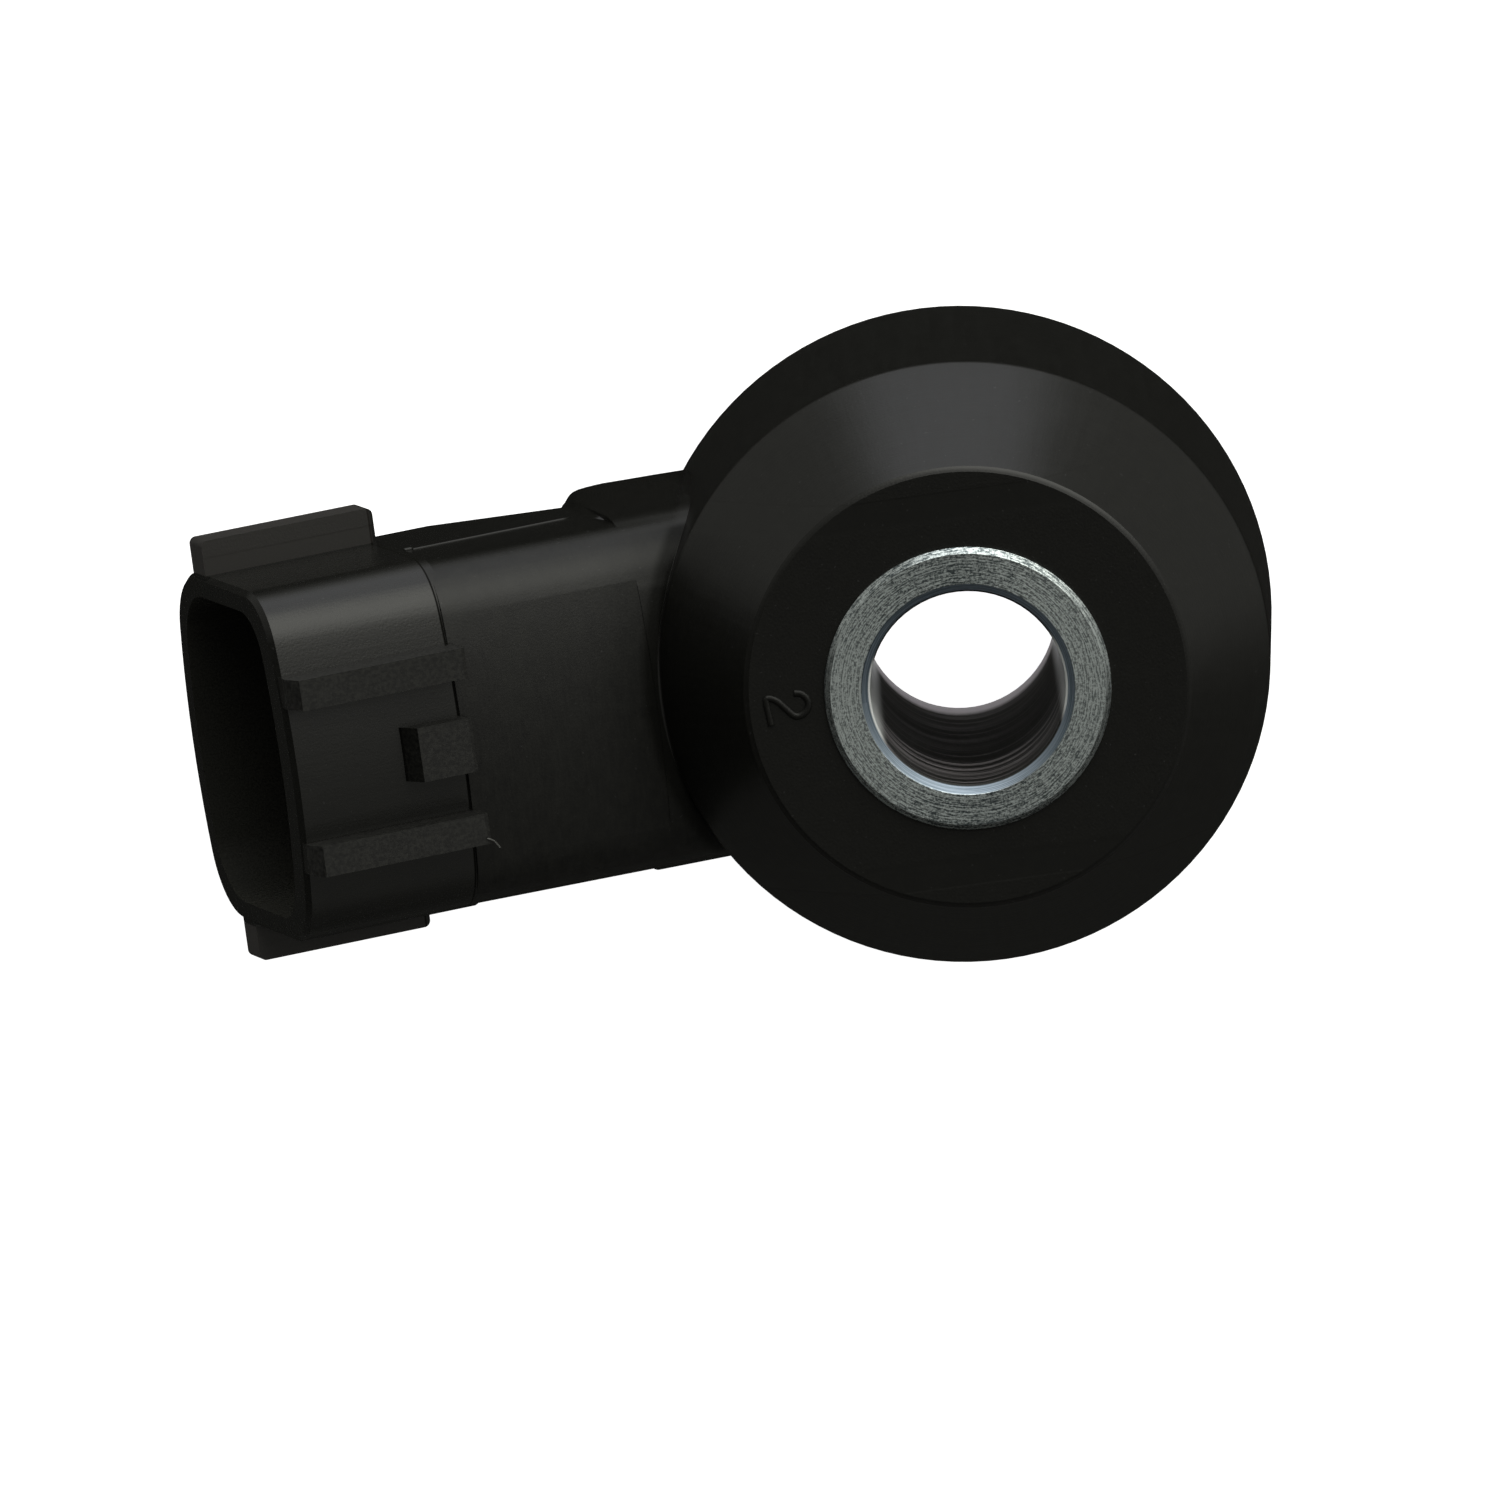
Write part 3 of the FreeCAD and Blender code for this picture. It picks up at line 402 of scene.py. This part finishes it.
def housing_marks(nodes, at, zone, grain):
    """Marks of the mould: round the body, across the neck, along the shroud, and only grain on the face."""
    round_marks = nodes.marks((at.arc, at.radius, at.z), (0.5, 9.0, 9.0), detail=2.0, roughness=0.5)
    slope_marks = nodes.marks((at.arc, at.radius, at.z), (3.2, 0.25, 0.25), detail=3.0, roughness=0.6)
    cross_marks = nodes.marks((at.u, at.y, at.t), (7.0, 0.9, 2.0), detail=2.5, roughness=0.6)
    long_marks = nodes.marks((at.u, at.y, at.t), (0.45, 6.5, 6.5), detail=3.0, roughness=0.6)
    body_marks = nodes.mix(0.5, round_marks, slope_marks)
    neck_marks = nodes.mix(0.45, cross_marks, grain)
    shroud_marks = nodes.mix(0.5, long_marks, grain)
    return nodes.layers(neck_marks, (zone.shroud, shroud_marks), (zone.body, body_marks),
                        (zone.face, grain))


def housing_colour(nodes, at, zone, marks):
    """The plastic's blacks: even where it is smooth, uneven on the neck, speckled on the ribs, and
    lightened inside the socket by painted light.
    """
    mottle = nodes.noise(at.point, scale=1.6, detail=4.0, roughness=0.6)
    smooth_shade = nodes.spread(nodes.blend(0.5, marks, mottle), 0.3, 0.7)
    matt_shade = nodes.spread(nodes.blend(0.6, marks, mottle), 0.36, 0.64)
    coarse = nodes.noise(at.point, scale=5.5, detail=2.0, roughness=0.6)
    rib_shade = nodes.spread(coarse, 0.40, 0.62)
    dots = nodes.noise(at.point, scale=6.5, detail=1.0, roughness=0.4)
    specks = nodes.rise(dots, 0.74, 0.80)
    smooth = nodes.either(nodes.either(zone.body, zone.flank), zone.low_shroud)
    matt_colour = nodes.colours(matt_shade, *MATT_BLACK)
    smooth_colour = nodes.colours(smooth_shade, *SMOOTH_BLACK)
    colour = nodes.colours(smooth, matt_colour, smooth_colour)
    colour = nodes.colours(zone.ribs, colour, nodes.colours(rib_shade, *RIB_BLACK))
    colour = nodes.colours(zone.guides, colour, GUIDE_COLOUR)
    # Painted light inside the socket, which lightens its colour.
    colour = nodes.colours(zone.socket, colour, SOCKET_PAINTED_LIGHT)
    return nodes.colours(specks, colour, SPECK_COLOUR)


def moulded_plastic():
    """Black glass-filled plastic. The round body and the shroud are smoother than the neck and the ribs."""
    material, nodes, shader = start_material("moulded_plastic_black")
    at = housing_places(nodes)
    zone = housing_zones(nodes, at)
    grain = nodes.noise(at.point, scale=9.0, detail=3.0, roughness=0.65)
    marks = housing_marks(nodes, at, zone, grain)

    ridges = nodes.either(zone.ribs, zone.guides)
    rough = nodes.layers(0.40, (zone.flank, 0.25), (zone.shroud, 0.27), (zone.body, 0.31),
                         (zone.face, 0.42), (ridges, 0.50))
    uneven = nodes.times(nodes.spread(marks, 0.25, 0.75, -0.04, 0.06), nodes.mix(zone.flank, 1.0, 0.3))
    rough = nodes.plus(rough, uneven)
    colour = housing_colour(nodes, at, zone, marks)
    height = nodes.times(nodes.blend(0.6, marks, grain), nodes.mix(zone.flank, 1.0, 0.08))
    feed_shader(nodes, shader, colour, rough, height, depth=0.011)

    shader.inputs["IOR"].default_value = 1.5
    # Painted shade: the gloss is lowered beside the round body (root and corner), so the neck reflects
    # darker there.
    gloss = nodes.layers(0.38, (nodes.either(zone.shroud, zone.body), 0.5), (zone.root, 0.27),
                         (zone.corner, 0.10), (zone.seam, 0.04), (zone.face, 0.32), (zone.socket, 0.30))
    nodes.feed(shader.inputs["Specular IOR Level"], gloss)
    return material


def sleeve_plate(nodes, angle, streaks, rings, mottle):
    """The plating on the sleeve's end: streaked, with bright rings, and a painted sheen that makes it paler
    at its left and right.
    """
    shade = nodes.plus(nodes.times(streaks, 0.42), nodes.times(mottle, 0.38))
    shade = nodes.plus(shade, nodes.times(rings, 0.20))
    # A painted sheen: the end is coloured paler towards its left and right, where the turned rings would
    # catch the light.
    sides = nodes.math("ABSOLUTE", nodes.math("COSINE", angle))
    shade = nodes.plus(nodes.spread(shade, 0.45, 0.55), nodes.spread(sides, 0.0, 1.0, -0.20, 0.22))
    shade = nodes.plus(shade, nodes.rise(rings, 0.60, 0.68, at_high=0.5))
    return nodes.colours(shade, *PLATE)


def bore_colour(nodes, x, z, bore_rings):
    """The bore: dark, with its rings painted brighter towards its top, painted light at its foot, and a
    painted glint at its left and right.
    """
    rings = nodes.spread(bore_rings, 0.50, 0.68, at_high=0.8)
    # Painted light: the rings are coloured brighter towards the bore's top and dimmer deeper in.
    shade = nodes.times(rings, nodes.rise(z, *BORE_PAINTED_RING_LIGHT, at_low=0.35))
    # Painted light at the bore's foot, standing in for the light from the floor below.
    shade = nodes.plus(shade, nodes.fall(z, *BORE_PAINTED_FOOT_LIGHT, at_low=1.5))
    # A painted glint: the bore is coloured near white at its left and right, where its wall is seen edge
    # on.
    edge_on_glint = nodes.rise(nodes.math("ABSOLUTE", x), *BORE_PAINTED_GLINT_SPAN)
    return nodes.colours(edge_on_glint, nodes.colours(shade, *BORE_METAL), BORE_PAINTED_GLINT)


def plated_sleeve():
    """Zinc-plated steel with the turning tool's rings on the end and coarser rings in the bore."""
    material, nodes, shader = start_material("plated_steel_turned")
    x, y, z = nodes.places()
    radius, angle = nodes.polar(x, y)
    arc = nodes.times(angle, SLEEVE_ARC)
    on_end = nodes.rise(z, SLEEVE_END, SLEEVE_END + 0.08)
    in_bore = nodes.fall(radius, BORE_RADIUS, BORE_RADIUS + 0.06)
    on_chamfer = nodes.both(nodes.fall(radius, CHAMFER_RADIUS, CHAMFER_RADIUS + 0.06),
                            nodes.rise(z, CHAMFER_FOOT, CHAMFER_FOOT + 0.12))

    streaks = nodes.marks((arc, radius, z), (2.4, 15.0, 9.0), detail=3.0, roughness=0.7)
    rings = nodes.marks((arc, radius, z), (0.16, 19.0, 9.0), detail=2.0, roughness=0.6)
    bore_rings = nodes.marks((angle, 0.0, z), (0.2, 0.0, 2.6), detail=3.0, roughness=0.7)
    mottle = nodes.noise(nodes.join(x, y, z), scale=9.0, detail=4.0, roughness=0.75)

    plate = sleeve_plate(nodes, angle, streaks, rings, mottle)
    chamfer_plate = nodes.colours(nodes.spread(rings, 0.4, 0.6), *CHAMFER_PLATE)
    plate = nodes.colours(on_chamfer, plate, chamfer_plate)
    colour = nodes.colours(in_bore, plate, bore_colour(nodes, x, z, bore_rings))
    rough = nodes.mix(on_end, nodes.mix(on_chamfer, 0.30, 0.52), nodes.spread(mottle, 0.3, 0.7, 0.28, 0.42))
    height = nodes.mix(in_bore, nodes.blend(0.6, rings, streaks), bore_rings)
    feed_shader(nodes, shader, colour, nodes.mix(in_bore, rough, 0.45), height, depth=0.012)
    nodes.feed(shader.inputs["Metallic"], nodes.mix(in_bore, 1.0, 0.25))
    return material


def turned_metal(name, dark, light, rough_low, rough_high):
    """Metal with the turning tool's rings and a mottled plating."""
    material, nodes, shader = start_material(name)
    x, y, z = nodes.places()
    radius, angle = nodes.polar(x, y)
    point = nodes.join(x, y, z)
    mottle = nodes.noise(point, scale=2.2, detail=4.0, roughness=0.65)
    grain = nodes.noise(point, scale=14.0, detail=3.0, roughness=0.6)
    rings = nodes.marks((radius, z, angle), (9.0, 7.0, 0.25), detail=3.0, roughness=0.7)
    colour = nodes.colours(nodes.spread(nodes.blend(0.7, mottle, grain), 0.35, 0.65), dark, light)
    rough = nodes.spread(mottle, 0.3, 0.7, rough_low, rough_high)
    feed_shader(nodes, shader, colour, rough, nodes.blend(0.8, rings, grain), depth=0.010)
    shader.inputs["Metallic"].default_value = 1.0
    return material


def sheet_metal(name, dark, light, rough_low, rough_high):
    """Rolled strip with fine lines along its length and a little stain."""
    material, nodes, shader = start_material(name)
    x, y, z = nodes.places()
    lines = nodes.marks((x, y, z), (0.6, 12.0, 12.0), detail=2.0, roughness=0.5)
    stain = nodes.noise(nodes.join(x, y, z), scale=1.3, detail=4.0, roughness=0.6)
    colour = nodes.colours(nodes.spread(nodes.blend(0.4, lines, stain), 0.3, 0.7), dark, light)
    rough = nodes.spread(stain, 0.3, 0.7, rough_low, rough_high)
    feed_shader(nodes, shader, colour, rough, lines, depth=0.004)
    shader.inputs["Metallic"].default_value = 1.0
    return material


def plain_solid(name, dark, light, rough_low, rough_high, grain_size, depth):
    """Ceramic, film or plastic with a cloudy colour and a fine grain, whose size and depth are given."""
    material, nodes, shader = start_material(name)
    x, y, z = nodes.places()
    point = nodes.join(x, y, z)
    cloud = nodes.noise(point, scale=1.2, detail=4.0, roughness=0.6)
    grain = nodes.noise(point, scale=1 / grain_size, detail=3.0, roughness=0.6)
    colour = nodes.colours(nodes.spread(cloud, 0.3, 0.7), dark, light)
    rough = nodes.spread(grain, 0.3, 0.7, rough_low, rough_high)
    feed_shader(nodes, shader, colour, rough, grain, depth)
    return material


def dress_nodes(black):
    """Gives each CAD node its material."""
    plated = plated_sleeve()
    turned = turned_metal("steel_turned", grey(0.36), (0.52, 0.52, 0.51, 1.0),
                          rough_low=0.25, rough_high=0.38)
    brass = sheet_metal("brass_rolled", (0.62, 0.42, 0.16, 1.0), (0.78, 0.58, 0.27, 1.0),
                        rough_low=0.22, rough_high=0.36)
    tin = sheet_metal("tinned_strip", (0.60, 0.60, 0.59, 1.0), (0.78, 0.78, 0.76, 1.0),
                      rough_low=0.22, rough_high=0.34)
    film = plain_solid("insulating_film", (0.55, 0.42, 0.20, 1.0), (0.68, 0.55, 0.30, 1.0),
                       rough_low=0.3, rough_high=0.5, grain_size=0.25, depth=0.003)
    ceramic = plain_solid("fired_ceramic", (0.52, 0.50, 0.45, 1.0), (0.68, 0.66, 0.60, 1.0),
                          rough_low=0.5, rough_high=0.7, grain_size=0.12, depth=0.006)
    carrier = plain_solid("carrier_moulding", grey(0.010), (0.02, 0.02, 0.019, 1.0),
                          rough_low=0.38, rough_high=0.5, grain_size=0.15, depth=0.008)
    chip = plain_solid("chip_body", (0.02, 0.022, 0.03, 1.0), (0.04, 0.042, 0.05, 1.0),
                       rough_low=0.3, rough_high=0.45, grain_size=0.1, depth=0.003)
    solder = sheet_metal("solder_fillet", grey(0.62), (0.75, 0.75, 0.74, 1.0),
                         rough_low=0.18, rough_high=0.3)
    chosen = {
        "housing": black,
        "pressure_sleeve": plated,
        "insulating_tube": film,
        "lower_insulating_washer": film,
        "upper_insulating_washer": film,
        "lower_contact_plate": brass,
        "upper_contact_plate": brass,
        "piezo_ring": ceramic,
        "seismic_mass": turned,
        "disc_spring": turned,
        "lock_nut": turned,
        "signal_terminal": tin,
        "ground_terminal": tin,
        "terminal_carrier": carrier,
        "shunt_resistor": chip,
        "signal_solder": solder,
        "ground_solder": solder,
    }
    for name, material in chosen.items():
        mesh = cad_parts[name].data
        mesh.materials.clear()
        mesh.materials.append(material)


def side_name(side):
    """The name of a side of the neck: left towards +Y, right towards -Y."""
    return "left" if side > 0 else "right"


def on_plug(u, across, t):
    """A place given along, across and above the plug's axis."""
    return PLUG_ROOT + PLUG_ALONG * u + Vector((0, across, 0)) + PLUG_UP * t


def keep_piece(name, form):
    """Makes a smooth-shaded piece of a form, which is used up."""
    mesh = bpy.data.meshes.new(name)
    for face in form.faces:
        face.smooth = True
    form.to_mesh(mesh)
    form.free()
    piece = bpy.data.objects.new(name, mesh)
    bpy.context.scene.collection.objects.link(piece)
    return piece


def finish_piece(piece, material):
    """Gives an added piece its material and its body."""
    piece.data.materials.append(material)
    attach(piece, "root")


def smooth_copy(node_name, piece_name):
    """The CAD solid, shaded smoothly over faces that run into each other. It takes the node's place."""
    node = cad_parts[node_name]
    form = bmesh.new()
    form.from_mesh(node.data)
    form.transform(node.matrix_world)
    bmesh.ops.remove_doubles(form, verts=form.verts, dist=SAME_PLACE * MM)
    for edge in form.edges:
        edge.smooth = edge.calc_face_angle(math.pi) < CREASE
    piece = keep_piece(piece_name, form)
    weighted = piece.modifiers.new("even_normals", "WEIGHTED_NORMAL")
    weighted.mode = "FACE_AREA"
    weighted.keep_sharp = True
    piece.data.materials.append(node.data.materials[0])
    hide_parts(node_name)
    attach(piece, "root")


def loft(name, sections):
    """A closed form through sections that have the same number of points."""
    form = bmesh.new()
    rows = [[form.verts.new(point * MM) for point in section] for section in sections]
    for row, following in zip(rows, rows[1:]):
        for a, b, c, d in zip(row, row[1:], following[1:], following):
            form.faces.new((a, b, c, d))
        form.faces.new((row[-1], row[0], following[0], following[-1]))
    form.faces.new(reversed(rows[0]))
    form.faces.new(rows[-1])
    bmesh.ops.recalc_face_normals(form, faces=form.faces)
    return keep_piece(name, form)


def smooth_line(points):
    """A smooth line through the given points."""
    line = []
    ends = [points[0]] + list(points) + [points[-1]]
    for before, start, end, after in zip(ends, ends[1:], ends[2:], ends[3:]):
        for s in (k / LINE_STEPS for k in range(LINE_STEPS)):
            line.append(0.5 * ((2 * start) + (end - before) * s
                               + (2 * before - 5 * start + 4 * end - after) * s * s
                               + (3 * start - before - 3 * end + after) * s ** 3))
    line.append(points[-1])
    return line


def moulded_stroke(name, line, width, height, sunk, up):
    """A raised stroke with a rounded top, which follows a line that lies on a surface."""
    half = width / 2
    profile = [(-half, -sunk), (-half * 0.95, height * 0.45), (-half * 0.55, height * 0.9), (0.0, height),
               (half * 0.55, height * 0.9), (half * 0.95, height * 0.45), (half, -sunk)]
    sections = []
    for k, point in enumerate(line):
        ahead = line[min(k + 1, len(line) - 1)]
        behind = line[max(k - 1, 0)]
        side = (ahead - behind).cross(up).normalized()
        sections.append([point + side * across + up * rise for across, rise in profile])
    return loft(name, sections)


def add_cavity_number(black):
    """The raised 2 on the face."""
    points = [Vector((x, y, FACE_LEVEL)) for x, y in NUMBER_TWO]
    piece = moulded_stroke("cavity_number", smooth_line(points), width=0.30, height=0.10, sunk=0.05,
                           up=Vector((0, 0, 1)))
    finish_piece(piece, black)


def add_flash(black):
    """The fine ridge along the neck's parting line, with a burr near the shroud."""
    for side in (1, -1):
        out = Vector((0, side, 0))
        for part, start, step, count, width, height in RIDGES:
            line = [on_plug(start - step * k, side * NECK_HALF, PARTING_LEVEL) for k in range(count)]
            name = f"parting_{part}_{side_name(side)}"
            finish_piece(moulded_stroke(name, line, width, height, RIDGE_SUNK, out), black)


def add_whisker():
    """A curl of flash left on the end of one side rib."""
    points = [on_plug(*place) for place in WHISKER]
    piece = moulded_stroke("rib_whisker", smooth_line(points), width=0.06, height=0.05, sunk=0.02,
                           up=PLUG_UP)
    thin = plain_solid("thin_flash", (0.10, 0.10, 0.095, 1.0), (0.16, 0.16, 0.15, 1.0),
                       rough_low=0.4, rough_high=0.6, grain_size=0.1, depth=0.002)
    finish_piece(piece, thin)


def swelling_section(u, reach):
    """Heights above the mounting face at one place of the swelling, and how far it reaches at each."""
    corner_top = SWELLING_FOOT + SWELLING_CORNER
    top = SWELLING_TOP + SWELLING_CLIMB * u
    top_reach = TOP_REACH_HIGH - TOP_NARROWING * (u - TOP_NARROWS_FROM)
    top_reach = min(TOP_REACH_HIGH, max(TOP_REACH_LOW, top_reach))
    section = [(SWELLING_FOOT, SWELLING_INNER), (SWELLING_FOOT, reach - SWELLING_CORNER)]
    for angle in (math.radians(90 * k / CORNER_STEPS) for k in range(1, CORNER_STEPS + 1)):
        section.append((SWELLING_FOOT + SWELLING_CORNER * (1 - math.cos(angle)),
                        reach - SWELLING_CORNER * (1 - math.sin(angle))))
    for share in (k / SIDE_STEPS for k in range(1, SIDE_STEPS + 1)):
        section.append((corner_top + (top - corner_top) * share, reach - (reach - top_reach) * share))
    section.append((top + 0.1, SWELLING_INNER))
    return section


def add_swelling(black):
    """The lower half of the neck swells out on both sides where it leaves the round body."""
    for side in (1, -1):
        sections = []
        for u, reach in SWELLING:
            foot = (PLUG_ROOT + PLUG_ALONG * u).x
            sections.append([Vector((foot + (height - SECTION_LEVEL) * SECTION_LEAN, side * across, height))
                             for height, across in swelling_section(u, reach)])
        finish_piece(loft(f"neck_swelling_{side_name(side)}", sections), black)


def add_floor():
    """A pale floor just under the part. The gloss of the part doesn't see it, so it stays a soft black."""
    level = FLOOR_LEVEL * MM
    mesh = bpy.data.meshes.new("floor")
    corners = [(x * FLOOR_REACH, y * FLOOR_REACH, level) for x, y in ((-1, -1), (1, -1), (1, 1), (-1, 1))]
    mesh.from_pydata(corners, [], [(0, 1, 2, 3)])
    floor = bpy.data.objects.new("floor", mesh)
    bpy.context.scene.collection.objects.link(floor)
    material, nodes, shader = start_material("floor_pale")
    x, y, z = nodes.places()
    cloud = nodes.noise(nodes.join(x, y, z), scale=0.02, detail=2.0, roughness=0.5)
    nodes.feed(shader.inputs["Base Color"], nodes.colours(cloud, grey(0.80), grey(0.84)))
    shader.inputs["Roughness"].default_value = 0.9
    shader.inputs["Emission Color"].default_value = grey(1.0)
    shader.inputs["Emission Strength"].default_value = 1.0
    floor.data.materials.append(material)
    floor.visible_glossy = False
    floor.visible_shadow = False


def between(nodes, bearing, low, high, soft):
    """One inside a range of bearings in degrees, with soft ends."""
    start = nodes.rise(bearing, math.radians(low - soft), math.radians(low + soft))
    end = nodes.fall(bearing, math.radians(high - soft), math.radians(high + soft))
    return nodes.times(start, end)


def studio_lights(nodes, x, y, z):
    """How strong the light from each direction is, and how much of it comes from the box.

    Bearings are in degrees, from +X towards +Y. The direction is of unit length, so z is 1 straight up.
    """
    bearing = nodes.math("ARCTAN2", y, x)
    wall = nodes.both(between(nodes, bearing, -12, 161, 9), nodes.rise(z, -0.82, -0.45), WALL_LIGHT,
                      nodes.fall(z, 0.80, 0.96, at_high=0.4))
    box = nodes.both(between(nodes, bearing, 62, 108, 5), nodes.rise(z, -0.66, -0.34),
                     nodes.fall(z, 0.0, 0.35), BOX_LIGHT)
    lamp = nodes.both(between(nodes, bearing, 22, 100, 11), nodes.rise(z, 0.0, 0.35),
                      nodes.fall(z, 0.82, 0.93, at_high=0.10), LAMP_LIGHT,
                      nodes.rise(bearing, math.radians(24), math.radians(50), 1.0, 1.9))
    high_right = nodes.both(nodes.rise(x, 0.15, 0.5), nodes.rise(z, 0.15, 0.6))
    right = nodes.both(high_right, between(nodes, bearing, -27, 14, 12), RIGHT_LIGHT)
    front = nodes.both(high_right, between(nodes, bearing, -82, -27, 12), FRONT_LIGHT)
    low_front = nodes.both(nodes.rise(z, -0.20, 0.05), nodes.fall(z, 0.25, 0.50),
                           between(nodes, bearing, -140, -40, 15), LOW_FRONT_LIGHT)
    overhead = nodes.both(nodes.rise(z, 0.86, 0.96), OVERHEAD_LIGHT)
    strength = nodes.rise(z, -0.84, -0.62, *REST_LIGHT)
    for light in (wall, box, lamp, right, front, low_front, overhead):
        strength = nodes.plus(light, strength)
    return strength, box


def add_world():
    """Soft surroundings: a bright box behind, grey walls, a lamp up on the right and a dark rest."""
    world = bpy.data.worlds.new("studio")
    bpy.context.scene.world = world
    world.use_nodes = True
    tree = world.node_tree
    tree.nodes.clear()
    nodes = Nodes(tree)
    direction = nodes.add("ShaderNodeTexCoord").outputs["Generated"]
    strength, box = studio_lights(nodes, *nodes.split(direction))
    seen = nodes.add("ShaderNodeLightPath").outputs["Is Camera Ray"]
    tint = nodes.colours(box, (1.0, 1.0, 0.93, 1.0), (0.96, 0.98, 1.03, 1.0))
    background = nodes.add("ShaderNodeBackground")
    nodes.feed(background.inputs["Color"], nodes.colours(seen, tint, grey(1.0)))
    nodes.feed(background.inputs["Strength"], nodes.mix(seen, strength, BACKDROP_LIGHT))
    output = nodes.add("ShaderNodeOutputWorld")
    tree.links.new(background.outputs[0], output.inputs[0])


def add_camera():
    """The photograph's own viewpoint: far off, a little behind the part and turned by a few degrees."""
    data = bpy.data.cameras.new("camera")
    data.sensor_fit = "HORIZONTAL"
    data.sensor_width = 36.0
    data.lens = 528.0
    data.clip_start = 0.05
    data.clip_end = 10.0
    camera = bpy.data.objects.new("camera", data)
    bpy.context.scene.collection.objects.link(camera)
    back = VIEW_BACK.normalized()
    up = back.cross(VIEW_RIGHT.normalized()).normalized()
    turn = Matrix((up.cross(back), up, back)).transposed().to_4x4()
    camera.matrix_world = Matrix.Translation(VIEW_PLACE) @ turn
    bpy.context.scene.camera = camera


bpy.context.scene.view_settings.view_transform = "Standard"
black_plastic = moulded_plastic()
dress_nodes(black_plastic)
smooth_copy("housing", "housing_skin")
smooth_copy("pressure_sleeve", "sleeve_skin")
add_cavity_number(black_plastic)
add_flash(black_plastic)
add_whisker()
add_swelling(black_plastic)
add_floor()
add_world()
add_camera()
bpy.context.view_layer.update()
